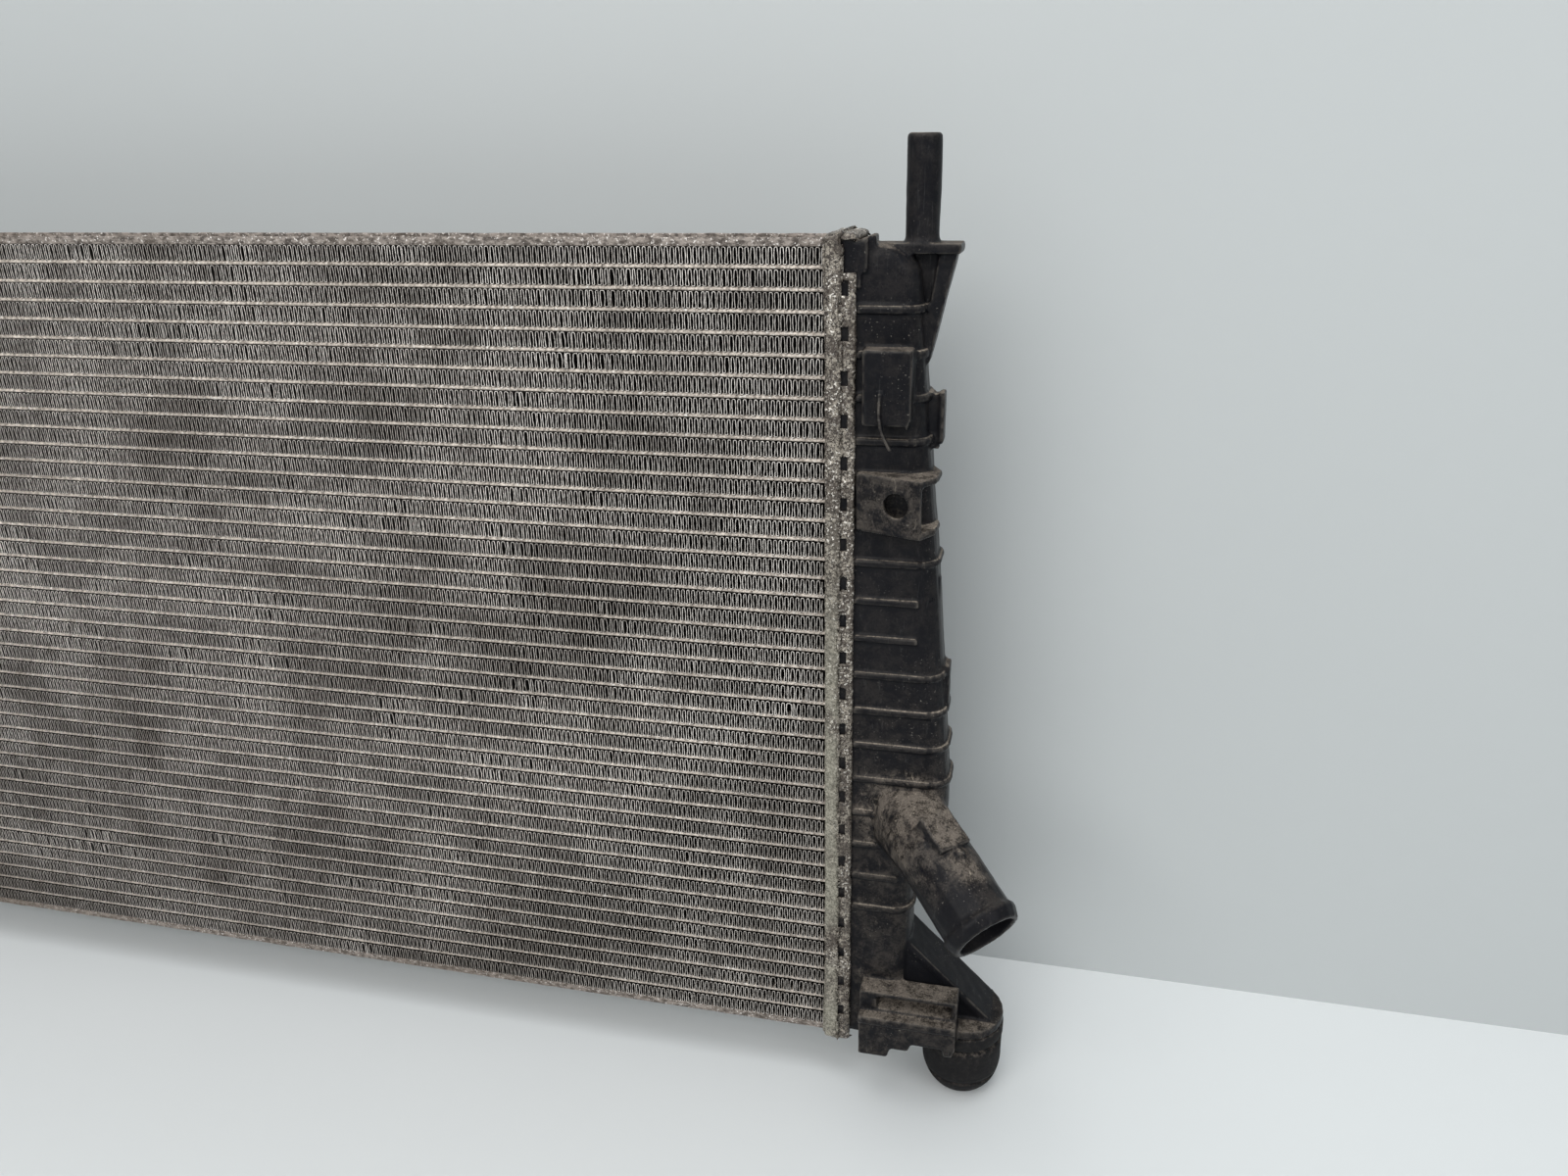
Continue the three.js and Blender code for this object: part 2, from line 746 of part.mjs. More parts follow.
// A rounded rectangle on the tank's front wall, its points in step with circleAround's.
function wallOpening(centre, halfWidth, halfHeight, depth, count) {
  const roundness = 0.6;
  const bulge = (value) => Math.sign(value) * Math.abs(value) ** roundness;
  return Array.from({ length: count }, (_, i) => {
    const angle = (2 * Math.PI * i) / count;
    const x = centre.x + halfWidth * bulge(Math.cos(angle));
    const z = centre.z + halfHeight * bulge(Math.sin(angle));
    return new THREE.Vector3(x, depth, z);
  });
}

// A stub runs from a flared root on the tank wall to a beaded mouth. Its hollow is returned
// too, because it is cut through the tank as well.
function hoseStub(mouth, axis, root) {
  const ring = (distance, radius) => {
    const centre = mouth.clone().add(axis.clone().multiplyScalar(distance));
    return circleAround(centre, axis, radius, STUB_SIDES);
  };
  const opening = (inset, depth) =>
    wallOpening(root.centre, root.width - inset, root.height - inset, depth, STUB_SIDES);
  const outside = loft([
    opening(0, MIDDLE_DEPTH - 8),
    ring(-STUB_LENGTH, STUB_RADIUS),
    ring(-8, STUB_RADIUS),
    ring(-6.5, STUB_BEAD),
    ring(-4.5, STUB_BEAD),
    ring(0, STUB_RADIUS - 0.8),
  ]);
  const hollow = loft([
    opening(TANK_WALL, MIDDLE_DEPTH - 4),
    ring(-STUB_LENGTH, STUB_BORE),
    ring(2, STUB_BORE),
  ]);
  return { outside, hollow };
}

// A raised pad with a peg on the outlet stub, where a hose clip's bracket rests.
function stubPad() {
  const axis = OUTLET_AXIS;
  const front = new THREE.Vector3(-0.106, -0.686, 0.72);
  const side = front.clone().cross(axis).normalize();
  const lean = THREE.MathUtils.degToRad(35);
  const out = front
    .clone()
    .multiplyScalar(Math.cos(lean))
    .add(side.clone().multiplyScalar(Math.sin(lean)));
  const across = out.clone().cross(axis).normalize();
  const place = (distance, outward) =>
    OUTLET_MOUTH.clone()
      .add(axis.clone().multiplyScalar(distance))
      .add(out.clone().multiplyScalar(outward));
  const box = new THREE.BoxGeometry(18, 17, 9);
  box.applyMatrix4(new THREE.Matrix4().makeBasis(axis, across, out));
  const middle = place(-45.5, 14.2);
  box.translate(middle.x, middle.y, middle.z);
  const peg = rod(place(-40, 15.2), place(-32, 17.2), 2, 2, 10);
  return solid(box).add(peg);
}

// ---- Whole tanks ----------------------------------------------------------------------

function rightTank() {
  const reach = RIGHT_REACH;
  const stub = hoseStub(OUTLET_MOUTH, OUTLET_AXIS, {
    centre: new THREE.Vector3(38.6, 0, -266),
    width: 18.6,
    height: 19,
  });
  const wraps = [0, 1, 2, 3, 6, 9, 10, 11, 12, 16].map((i) => wrapRib(reach, i));
  const shorts = [7, 8].map((i) => shortRib(i, SHORT_RIB_REACH));
  const stubs = [13, 14, 15].map((i) => shortRib(i, 24 + (i - 12) * 4));
  const outside = join([
    tankShell(reach),
    tankFoot(),
    ...wraps,
    ...shorts,
    ...stubs,
    upperPin(),
    pinGusset(),
    clipPocket(),
    shroudBracket(),
    sideLug(38, 49.2, -84.5, -60.2),
    sideLug(48, 56.2, -211.5, -186),
    wiringRail(),
    stub.outside,
    stubPad(),
    lowerBlock(),
    lowerArm(),
  ]);
  return cut(outside, [tankCavity(reach), stub.hollow]);
}

function leftTank() {
  const reach = LEFT_REACH;
  const stub = hoseStub(INLET_MOUTH, INLET_AXIS, {
    centre: new THREE.Vector3(36, 0, INLET_MOUTH.z),
    width: 17,
    height: 18,
  });
  const wraps = [0, 5, 6, 7, 8, 9, 12, 13, 14, 15].map((i) => wrapRib(reach, i));
  const shorts = [10, 11, 16].map((i) => shortRib(i, SHORT_RIB_REACH));
  const drain = (y) => new THREE.Vector3(DRAIN_FROM_CORE, y, DRAIN_HEIGHT);
  const boss = rod(drain(1), drain(DRAIN_BOSS_FACE), DRAIN_BOSS_RADIUS);
  const drainBore = rod(drain(8), drain(DRAIN_BOSS_FACE - 1), DRAIN_BORE);
  const outside = join([
    tankShell(reach),
    tankFoot(),
    ...wraps,
    ...shorts,
    upperPin(),
    sideLug(44, 56, -211.5, -181),
    stub.outside,
    boss,
    lowerBlock(),
    lowerArm(),
  ]);
  return cut(outside, [tankCavity(reach), stub.hollow, drainBore]);
}

// ---- Loose pieces on the tanks --------------------------------------------------------

// A rubber bush with a blind bore: straight side, two grooves, and a dome with a flat end.
function lowerBush() {
  const dome = [];
  for (let i = 0; i <= BUSH_DOME_STEPS; i++) {
    const angle = (i / BUSH_DOME_STEPS) * (Math.PI / 2);
    dome.push([
      BUSH_FLAT_RADIUS + (BUSH_RADIUS - 0.4 - BUSH_FLAT_RADIUS) * Math.cos(angle),
      -BUSH_DOME_FROM - (BUSH_HEIGHT - BUSH_DOME_FROM) * Math.sin(angle),
    ]);
  }
  const profile = [
    [0, -BUSH_BORE_DEPTH],
    [BUSH_BORE, -BUSH_BORE_DEPTH],
    [BUSH_BORE, 0],
    [BUSH_RADIUS - 1, 0],
    [BUSH_RADIUS, -1],
    [BUSH_RADIUS, -BUSH_GROOVE],
    [BUSH_RADIUS - 1.6, -BUSH_GROOVE - BUSH_GROOVE_WIDTH * 0.4],
    [BUSH_RADIUS - 0.4, -BUSH_GROOVE - BUSH_GROOVE_WIDTH],
    ...dome,
    [0, -BUSH_HEIGHT],
  ];
  const geometry = turned(profile);
  geometry.translate(PEG_FROM_CORE, MIDDLE_DEPTH, SEAT_BOTTOM - CLEARANCE);
  return solid(geometry);
}

const sealFace = DRAIN_BOSS_FACE - CLEARANCE;
const headFace = sealFace - SEAL_THICKNESS - CLEARANCE;

function drainPlugSeal() {
  const at = (y) => new THREE.Vector3(DRAIN_FROM_CORE, y, DRAIN_HEIGHT);
  const ring = rod(at(sealFace), at(sealFace - SEAL_THICKNESS), SEAL_OUTER);
  return cut(ring, [rod(at(sealFace + 1), at(headFace), DRAIN_BORE)]);
}

function drainPlug() {
  const at = (y) => new THREE.Vector3(DRAIN_FROM_CORE, y, DRAIN_HEIGHT);
  const [width, height, depth] = PLUG_GRIP;
  const front = headFace - PLUG_HEAD_THICKNESS;
  const shank = rod(at(headFace + PLUG_SHANK_LENGTH), at(headFace - 1), PLUG_SHANK);
  const head = rod(at(headFace), at(front), PLUG_HEAD_RADIUS);
  const grip = block(
    [DRAIN_FROM_CORE - height / 2, front - depth, DRAIN_HEIGHT - width / 2],
    [DRAIN_FROM_CORE + height / 2, front + 1, DRAIN_HEIGHT + width / 2],
  );
  return join([shank, head, grip]);
}

// ---- Assembly -------------------------------------------------------------------------

// One end of the core: x is counted outwards from the core's end.
function endGroup(side, meshes) {
  const group = new THREE.Group();
  group.position.set((side * CORE_LENGTH) / 2, 0, 0);
  group.scale.set(side, 1, 1);
  group.add(...meshes);
  return group;
}

const radiator = new THREE.Group();
const placed = new THREE.Group();
placed.position.set(0, CORE_FRONT_Y, CORE_TOP_Z);
radiator.add(placed);

for (let i = 0; i < TUBE_COUNT; i++) {
  const name = `tube_${String(i + 1).padStart(2, "0")}`;
  placed.add(namedMesh(name, flatTube(tubeHeightOf(i)), tubeMetal));
}
placed.add(namedMesh("fin_pack", finPack(), finMetal));
placed.add(namedMesh("side_plate_top", sidePlate(1), sideMetal));
placed.add(namedMesh("side_plate_bottom", sidePlate(-1), sideMetal));

placed.add(
  endGroup(1, [
    namedMesh("header_plate_right", headerPlate(), headerMetal),
    namedMesh("gasket_right", gasket(), rubber()),
    namedMesh("tank_right", rightTank(), plastic()),
    namedMesh("lower_bush_right", lowerBush(), rubber()),
  ]),
);
placed.add(
  endGroup(-1, [
    namedMesh("header_plate_left", headerPlate(), headerMetal),
    namedMesh("gasket_left", gasket(), rubber()),
    namedMesh("tank_left", leftTank(), plastic()),
    namedMesh("lower_bush_left", lowerBush(), rubber()),
    namedMesh("drain_plug", drainPlug(), plastic()),
    namedMesh("drain_plug_seal", drainPlugSeal(), rubber()),
  ]),
);

export default radiator;
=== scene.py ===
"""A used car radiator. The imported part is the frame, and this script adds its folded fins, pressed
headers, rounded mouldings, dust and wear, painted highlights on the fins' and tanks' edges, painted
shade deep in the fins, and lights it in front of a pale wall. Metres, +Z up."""

import math

import bpy
import numpy as np
from mathutils import Matrix, Vector, noise
from mathutils.bvhtree import BVHTree


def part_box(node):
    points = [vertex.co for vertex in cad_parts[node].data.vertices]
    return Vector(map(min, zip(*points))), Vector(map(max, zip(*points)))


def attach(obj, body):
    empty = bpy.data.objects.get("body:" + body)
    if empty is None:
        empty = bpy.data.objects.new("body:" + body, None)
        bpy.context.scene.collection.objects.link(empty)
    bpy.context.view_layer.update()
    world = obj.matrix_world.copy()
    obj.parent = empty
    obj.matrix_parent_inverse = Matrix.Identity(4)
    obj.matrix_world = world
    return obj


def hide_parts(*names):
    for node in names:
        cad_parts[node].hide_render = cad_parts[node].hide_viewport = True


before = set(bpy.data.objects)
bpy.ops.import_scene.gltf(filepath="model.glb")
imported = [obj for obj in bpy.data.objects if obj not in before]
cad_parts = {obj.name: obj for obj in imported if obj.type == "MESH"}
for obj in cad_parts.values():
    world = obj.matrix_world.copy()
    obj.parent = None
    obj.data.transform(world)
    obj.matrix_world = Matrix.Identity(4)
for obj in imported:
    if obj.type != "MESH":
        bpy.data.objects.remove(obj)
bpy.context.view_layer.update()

MM = 0.001
SEED = 7

# ---- Places taken from the frame ------------------------------------------------------

core_low, core_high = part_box("fin_pack")
header_low, header_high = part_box("header_plate_right")
first_tube_low, first_tube_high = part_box("tube_01")
last_tube_low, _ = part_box("tube_43")

TUBE_COUNT = 43
TUBE_PITCH = (first_tube_low.z - last_tube_low.z) / (TUBE_COUNT - 1)
HALF_LENGTH = header_low.x
FRONT = core_low.y
CORE_DEPTH = 26 * MM
MIDDLE = FRONT + CORE_DEPTH / 2
TOP = (first_tube_low.z + first_tube_high.z) / 2 + TUBE_PITCH
RIGHT, LEFT = 1, -1

# Fins: a strip folded to and fro between two tubes
FIN_PITCH = 2.47 * MM
FIN_SHEET = 0.26 * MM
FIN_BEND_RADIUS = 0.5 * MM
FIN_BOW = 0.2 * MM
FIN_SOFT_EDGE = 1.3 * MM

# Header plates, in millimetres out from the core's end and down from its top
HEADER_SHEET = 1.2
HEADER_NOTCH_FROM = 7
HEADER_NOTCH_HEIGHT = 14
WINDOW_FIRST = 16.6
WINDOW_PITCH = 18.2
WINDOW_COUNT = 21
WINDOW_HEIGHT = 6.2
WINDOW_NEAR = 6.9
WINDOW_FAR = 10.2
CRIMP_LIP = 2.7

# Ribs round the tanks, in millimetres down from the core's top
RIB_FIRST = 25.2
RIB_PITCH = 18.2

# Hose stubs: the middle of the mouth, as out, back and up from the core's end
OUTLET_MOUTH = (81.6, -50, -287.7)
OUTLET_ROOT = (38.6, 0, -262)

# Dust on the tanks: half a rib's height, and how far down the pale dust ends, in millimetres
RIB_HALF_HEIGHT = 2.2
PLAIN_BELOW = 330

# The filling of a tank's hidden hollow, in millimetres. Rays from HOLLOW_EYE, out and back, find
# the walls, and the filling bites into them.
HOLLOW_TOP = -3.9
HOLLOW_BOTTOM = -393.6
HOLLOW_STRAIGHT_FROM = -18
HOLLOW_STRAIGHT_TO = -382
HOLLOW_NEAR = 4
HOLLOW_BITE = 1.2
HOLLOW_CORNER = 5
HOLLOW_EYE = (20, 13)

# Voxels that round the mouldings' edges, in millimetres
TANK_VOXEL = 0.78
PLUG_VOXEL = 0.28

# Stage: the floor is just under the feet, and the wall close behind, in metres
STAGE_REACH = 6
STAGE_DROP = -0.0004
WALL_HEIGHT = 4
WALL_BACK = 113 * MM

# Camera, fitted to the photo: the place as out, back and up in millimetres, and degrees
CAMERA_PLACE = (89.2, -464.6, 34.2)
CAMERA_LENS = 25.85
CAMERA_SENSOR = 36
CAMERA_LEFT = 13.15
CAMERA_DOWN = 21.08
CAMERA_ROLL = -0.83

# Colours, in linear light
PLASTIC = (0.0045, 0.0047, 0.0062)
WORN_PLASTIC = (0.0105, 0.0108, 0.0128)
DUST = (0.15, 0.128, 0.108)
PALE_DUST = (0.40, 0.345, 0.28)


def at(side, out, back, up):
    """A point from millimetres out from the core's end, back from its front and up from its top."""
    return Vector((side * (HALF_LENGTH + out * MM), FRONT + back * MM, TOP + up * MM))


# ---- Mesh helpers ---------------------------------------------------------------------


def new_piece(name, points, faces, smooth=True):
    mesh = bpy.data.meshes.new(name)
    mesh.from_pydata([tuple(p) for p in points], [], [tuple(f) for f in faces])
    mesh.validate()
    mesh.shade_smooth() if smooth else mesh.shade_flat()
    piece = bpy.data.objects.new(name, mesh)
    bpy.context.scene.collection.objects.link(piece)
    return piece


def ring_faces(rings, count):
    """Quads between one ring of points and the next, with a lid on each end."""
    faces = []
    for r in range(rings - 1):
        for i in range(count):
            a = r * count + i
            b = r * count + (i + 1) % count
            faces.append((a, b, b + count, a + count))
    last = (rings - 1) * count
    faces.append(tuple(reversed(range(count))))
    faces.append(tuple(range(last, last + count)))
    return faces


def rounded(corners, radius, steps=3):
    """A closed outline with each of its corners rounded off."""
    points = []
    corners = [Vector(c) for c in corners]
    for i, corner in enumerate(corners):
        before = (corners[i - 1] - corner).normalized()
        after = (corners[(i + 1) % len(corners)] - corner).normalized()
        for s in range(steps + 1):
            t = s / steps
            start = corner + before * radius
            end = corner + after * radius
            points.append(start * (1 - t) ** 2 + corner * 2 * t * (1 - t) + end * t**2)
    return points


def settle(piece, *modifiers):
    """Applies modifiers, given as (type, settings) pairs, and keeps the resulting mesh."""
    for kind, settings in modifiers:
        modifier = piece.modifiers.new(kind.lower(), kind)
        for key, value in settings.items():
            setattr(modifier, key, value)
    graph = bpy.context.evaluated_depsgraph_get()
    mesh = bpy.data.meshes.new_from_object(piece.evaluated_get(graph))
    piece.modifiers.clear()
    piece.data = mesh


def roughen(piece, size, depth, seed=0):
    """Moves each point along its normal by smooth noise of this size and depth, in millimetres."""
    mesh = piece.data
    shift = Vector((seed * 3.7, seed * 1.3, seed * 2.1))
    normals = [v.normal.copy() for v in mesh.vertices]
    for vertex, normal in zip(mesh.vertices, normals):
        vertex.co += normal * noise.noise(vertex.co / (size * MM) + shift) * depth * MM
    mesh.update()


def finish_piece(piece, material, slot, body, *nodes):
    """Gives a piece its material, the body it rides on and the CAD nodes it replaces. The slot is not
    used.
    """
    piece.data.materials.clear()
    piece.data.materials.append(material)
    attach(piece, body)
    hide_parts(*nodes)


# ---- Materials ------------------------------------------------------------------------


class Look:
    """A procedural material, with one short call for each kind of node."""

    def __init__(self, name, roughness=0.6, metallic=0.0, specular=0.5):
        self.material = bpy.data.materials.new(name)
        self.material.use_nodes = True
        self.tree = self.material.node_tree
        self.shader = self.tree.nodes["Principled BSDF"]
        self.shader.inputs["Roughness"].default_value = roughness
        self.shader.inputs["Metallic"].default_value = metallic
        self.shader.inputs["Specular IOR Level"].default_value = specular
        self.place = self.tree.nodes.new("ShaderNodeTexCoord").outputs["Object"]

    def add(self, kind, inputs, output, **settings):
        node = self.tree.nodes.new("ShaderNode" + kind)
        for key, value in settings.items():
            setattr(node, key, value)
        for key, value in inputs.items():
            self.feed(node.inputs[key], value)
        return node.outputs[output]

    def feed(self, socket, value):
        if isinstance(value, bpy.types.NodeSocket):
            self.tree.links.new(value, socket)
        elif isinstance(value, tuple) and len(value) == 3 and socket.type == "RGBA":
            socket.default_value = (*value, 1)
        else:
            socket.default_value = value

    def noise(self, size, detail=4, roughness=0.55, stretch=(1, 1, 1), distortion=0):
        """Noise whose features are about this many millimetres across."""
        scale = tuple(1 / (size * MM * s) for s in stretch)
        place = self.add("Mapping", {"Vector": self.place, "Scale": scale}, "Vector")
        inputs = {
            "Vector": place,
            "Scale": 1.0,
            "Detail": detail,
            "Roughness": roughness,
            "Distortion": distortion,
        }
        return self.add("TexNoise", inputs, "Fac")

    def between(self, value, low, high):
        """0 where value is low or less, 1 where it is high or more."""
        inputs = {"Value": value, "From Min": low, "From Max": high}
        return self.add("MapRange", inputs, "Result", interpolation_type="SMOOTHSTEP")

    def math(self, operation, a, b=0.0):
        node = self.tree.nodes.new("ShaderNodeMath")
        node.operation = operation
        node.use_clamp = operation in ("MULTIPLY", "ADD")
        self.feed(node.inputs[0], a)
        self.feed(node.inputs[1], b)
        return node.outputs[0]

    def mix(self, share, a, b):
        node = self.tree.nodes.new("ShaderNodeMix")
        node.data_type = "RGBA"
        self.feed(node.inputs["Factor"], share)
        self.feed(node.inputs[6], a)
        self.feed(node.inputs[7], b)
        return node.outputs[2]

    def coordinate(self, axis):
        return self.add("SeparateXYZ", {"Vector": self.place}, axis)

    def upward(self):
        normal = self.tree.nodes.new("ShaderNodeNewGeometry").outputs["Normal"]
        return self.add("SeparateXYZ", {"Vector": normal}, "Z")

    def edges(self):
        return self.tree.nodes.new("ShaderNodeNewGeometry").outputs["Pointiness"]

    def mask(self, name):
        return self.add("Attribute", {}, "Fac", attribute_name=name)

    def bump(self, height, depth, strength=1.0, onto=None):
        """Bump of this depth in millimetres."""
        inputs = {"Height": height, "Distance": depth * MM, "Strength": strength}
        if onto is not None:
            inputs["Normal"] = onto
        return self.add("Bump", inputs, "Normal")

    def finish(self, colour, roughness=None, normal=None):
        self.feed(self.shader.inputs["Base Color"], colour)
        if roughness is not None:
            self.feed(self.shader.inputs["Roughness"], roughness)
        if normal is not None:
            self.feed(self.shader.inputs["Normal"], normal)
        return self.material


def grime(look):
    """Where the core is dirtiest: in large soft patches, and towards the lower left."""
    patches = look.between(look.noise(95, 5, 0.6), 0.40, 0.66)
    streaks = look.between(look.noise(26, 4, 0.6, (0.5, 1, 2.2)), 0.45, 0.75)
    low = look.between(look.coordinate("Z"), TOP - 150 * MM, TOP - 400 * MM)
    left = look.between(look.coordinate("X"), HALF_LENGTH - 60 * MM, HALF_LENGTH - 380 * MM)
    corner = look.math("MULTIPLY", low, left)
    spots = look.math("ADD", look.math("MULTIPLY", patches, 0.55), look.math("MULTIPLY", streaks, 0.3))
    return look.math("ADD", spots, look.math("MULTIPLY", corner, 0.45))


def fin_look():
    look = Look("fin_metal", roughness=0.5, metallic=0.3)
    # Painted light by depth: the front and back 0.3 mm of each fin get a pale painted highlight mixed
    # with dust, and the rest of the fin gets near-black painted shade.
    away = look.math("ABSOLUTE", look.math("SUBTRACT", look.coordinate("Y"), MIDDLE))
    edge = look.between(away, CORE_DEPTH / 2 - 0.3 * MM, CORE_DEPTH / 2 - 0.03 * MM)
    fine = look.between(look.noise(1.8, 5, 0.7), 0.35, 0.60)
    # The edges' painted highlight, broken by fine noise, darker patches and grime.
    edge_highlight_and_dust = look.mix(fine, (0.36, 0.33, 0.30), (0.95, 0.90, 0.84))
    patch = look.between(look.noise(40, 4, 0.6), 0.44, 0.60)
    edge_highlight_and_dust = look.mix(look.math("MULTIPLY", patch, 0.45), edge_highlight_and_dust, (0.20, 0.18, 0.16))
    edge_highlight_and_dust = look.mix(look.math("MULTIPLY", grime(look), 0.7), edge_highlight_and_dust, (0.10, 0.078, 0.060))
    # Near-black painted shade on the fin faces deep in the pack.
    inside = look.mix(look.noise(9, 4), (0.004, 0.0036, 0.003), (0.014, 0.012, 0.010))
    colour = look.mix(edge, inside, edge_highlight_and_dust)
    normal = look.bump(look.noise(0.8, 3), 0.08, 0.6)
    return look.finish(colour, normal=normal)


def tube_look():
    look = Look("tube_metal", roughness=0.72, metallic=0.12)
    fine = look.between(look.noise(1.5, 5, 0.7), 0.34, 0.64)
    pale = look.mix(fine, (0.28, 0.24, 0.205), (0.78, 0.70, 0.615))
    fleck = look.between(look.noise(1.9, 3, 0.6), 0.60, 0.68)
    pale = look.mix(fleck, pale, (0.88, 0.85, 0.80))
    pit = look.between(look.noise(1.2, 2, 0.5), 0.42, 0.33)
    pale = look.mix(look.math("MULTIPLY", pit, 0.75), pale, (0.05, 0.04, 0.033))
    colour = look.mix(look.math("MULTIPLY", grime(look), 0.6), pale, (0.15, 0.122, 0.098))
    normal = look.bump(look.noise(0.9, 4, 0.7), 0.25, 0.8)
    return look.finish(colour, normal=normal)


def header_look():
    look = Look("header_metal", roughness=0.62, metallic=0.2)
    grain = look.between(look.noise(1.0, 3, 0.6, distortion=0.8), 0.43, 0.58)
    worn = look.mix(grain, (0.040, 0.031, 0.025), (0.34, 0.305, 0.255))
    blotch = look.between(look.noise(7, 5, 0.75, distortion=0.9), 0.44, 0.56)
    worn = look.mix(look.math("MULTIPLY", blotch, 0.8), worn, (0.050, 0.038, 0.030))
    glint = look.between(look.noise(16, 4, 0.6), 0.40, 0.60)
    fleck = look.math("MULTIPLY", look.between(look.noise(1.2, 4, 0.65), 0.56, 0.64), glint)
    worn = look.mix(fleck, worn, (0.82, 0.78, 0.71))
    pit = look.between(look.noise(1.5, 3, 0.6), 0.41, 0.35)
    worn = look.mix(look.math("MULTIPLY", pit, 0.9), worn, (0.012, 0.009, 0.007))
    fine = look.between(look.noise(1.0, 5, 0.7), 0.34, 0.66)
    smooth = look.mix(fine, (0.15, 0.142, 0.108), (0.42, 0.40, 0.33))
    out = look.math("SUBTRACT", look.math("ABSOLUTE", look.coordinate("X")), HALF_LENGTH)
    near_core = look.between(out, 8.5 * MM, 5.5 * MM)
    low = look.between(look.coordinate("Z"), TOP - 90 * MM, TOP - 230 * MM)
    patch = look.between(look.noise(22, 4, 0.6, (1, 1, 1.8)), 0.36, 0.56)
    calm = look.math("MULTIPLY", look.math("MULTIPLY", near_core, low), patch)
    colour = look.mix(look.math("MULTIPLY", calm, 0.8), worn, smooth)
    coarse = look.bump(look.noise(2.0, 6, 0.7, distortion=0.6), 0.5, 0.9)
    normal = look.bump(look.noise(0.8, 4, 0.7), 0.22, 0.9, onto=coarse)
    roughness = look.between(grain, -0.8, 1.8)
    return look.finish(colour, roughness=roughness, normal=normal)


def side_plate_look():
    look = Look("side_plate_metal", roughness=0.7, metallic=0.15)
    grain = look.between(look.noise(2.2, 6, 0.7, (1.8, 1, 1)), 0.38, 0.62)
    colour = look.mix(grain, (0.060, 0.048, 0.040), (0.31, 0.27, 0.24))
    fleck = look.between(look.noise(1.1, 4, 0.6), 0.59, 0.66)
    colour = look.mix(fleck, colour, (0.74, 0.70, 0.66))
    colour = look.mix(look.math("MULTIPLY", grime(look), 0.6), colour, (0.12, 0.092, 0.068))
    normal = look.bump(look.noise(1.4, 5, 0.7), 0.3, 0.8)
    return look.finish(colour, normal=normal)


def tank_look():
    look = Look("tank_plastic", specular=0.07)
    broad = look.noise(34, 5, 0.6)
    base = look.mix(broad, PLASTIC, WORN_PLASTIC)
    scuff = look.between(look.noise(6, 5, 0.75, (0.3, 1, 2.6), distortion=0.8), 0.59, 0.70)
    base = look.mix(look.math("MULTIPLY", scuff, 0.4), base, (0.055, 0.055, 0.055))
    speck = look.between(look.noise(0.9, 2, 0.5), 0.68, 0.74)
    specked = look.between(look.noise(30, 3, 0.5), 0.45, 0.62)
    base = look.mix(look.math("MULTIPLY", speck, specked), base, (0.15, 0.14, 0.125))
    grain = look.between(look.noise(0.9, 4, 0.7), 0.34, 0.66)
    clump = look.between(look.noise(6, 5, 0.7, distortion=0.5), 0.34, 0.62)
    lumps = look.math("ADD", look.math("MULTIPLY", grain, 0.45), look.math("MULTIPLY", clump, 0.55))
    powder = look.mix(look.between(lumps, 0.15, 0.85), (0.018, 0.015, 0.0125), DUST)
    scrape = look.between(look.noise(3.2, 5, 0.7, (0.5, 1, 1.6), distortion=1.0), 0.60, 0.68)
    powder = look.mix(look.math("MULTIPLY", scrape, 0.7), powder, PALE_DUST)
    dusty = look.mask("dust")
    open_up = look.between(look.upward(), -0.45, 0.25)
    streaky = look.between(look.noise(8, 5, 0.7, distortion=0.5), 0.34, 0.60)
    film = look.math("MULTIPLY", look.math("MULTIPLY", dusty, open_up), streaky)
    colour = look.mix(film, base, powder)
    level = look.between(look.upward(), 0.70, 0.93)
    spread = look.between(look.noise(7, 5, 0.7), 0.32, 0.50)
    patchy = look.math("ADD", look.math("MULTIPLY", spread, 0.75), 0.15)
    gathers = look.between(dusty, 0.0, 0.12)
    lying = look.math("MULTIPLY", look.math("MULTIPLY", level, patchy), gathers)
    settled = look.mix(look.mask("pale"), powder, look.mix(grain, DUST, PALE_DUST))
    colour = look.mix(lying, colour, settled)
    # Paler convex edges: partly wear, partly a painted highlight along the edges.
    worn = look.between(look.edges(), 0.515, 0.565)
    worn = look.math("MULTIPLY", worn, look.between(look.noise(4, 4, 0.6), 0.34, 0.56))
    colour = look.mix(look.math("MULTIPLY", worn, 0.5), colour, (0.13, 0.117, 0.102))
    dull = look.math("ADD", look.math("MULTIPLY", film, 0.4), look.math("MULTIPLY", broad, 0.22))
    roughness = look.math("ADD", look.math("ADD", dull, look.math("MULTIPLY", lying, 0.4)), 0.2)
    coarse = look.bump(look.noise(5, 3), 0.08, 0.5)
    normal = look.bump(look.noise(0.5, 4, 0.7), 0.04, 0.6, onto=coarse)
    return look.finish(colour, roughness=roughness, normal=normal)


def rubber_look(name, dust_share):
    look = Look(name, roughness=0.7, specular=0.12)
    base = look.mix(look.noise(6, 5), (0.005, 0.005, 0.0055), (0.014, 0.0135, 0.014))
    grain = look.between(look.noise(2.2, 5, 0.7), 0.44, 0.72)
    settled = look.between(look.upward(), 0.1, 0.9)
    lying = look.math("MULTIPLY", look.math("ADD", settled, dust_share), grain)
    colour = look.mix(look.math("MULTIPLY", lying, 0.6), base, DUST)
    normal = look.bump(look.noise(1.1, 4, 0.7), 0.12, 0.7)
    return look.finish(colour, normal=normal)


# ---- Core -----------------------------------------------------------------------------


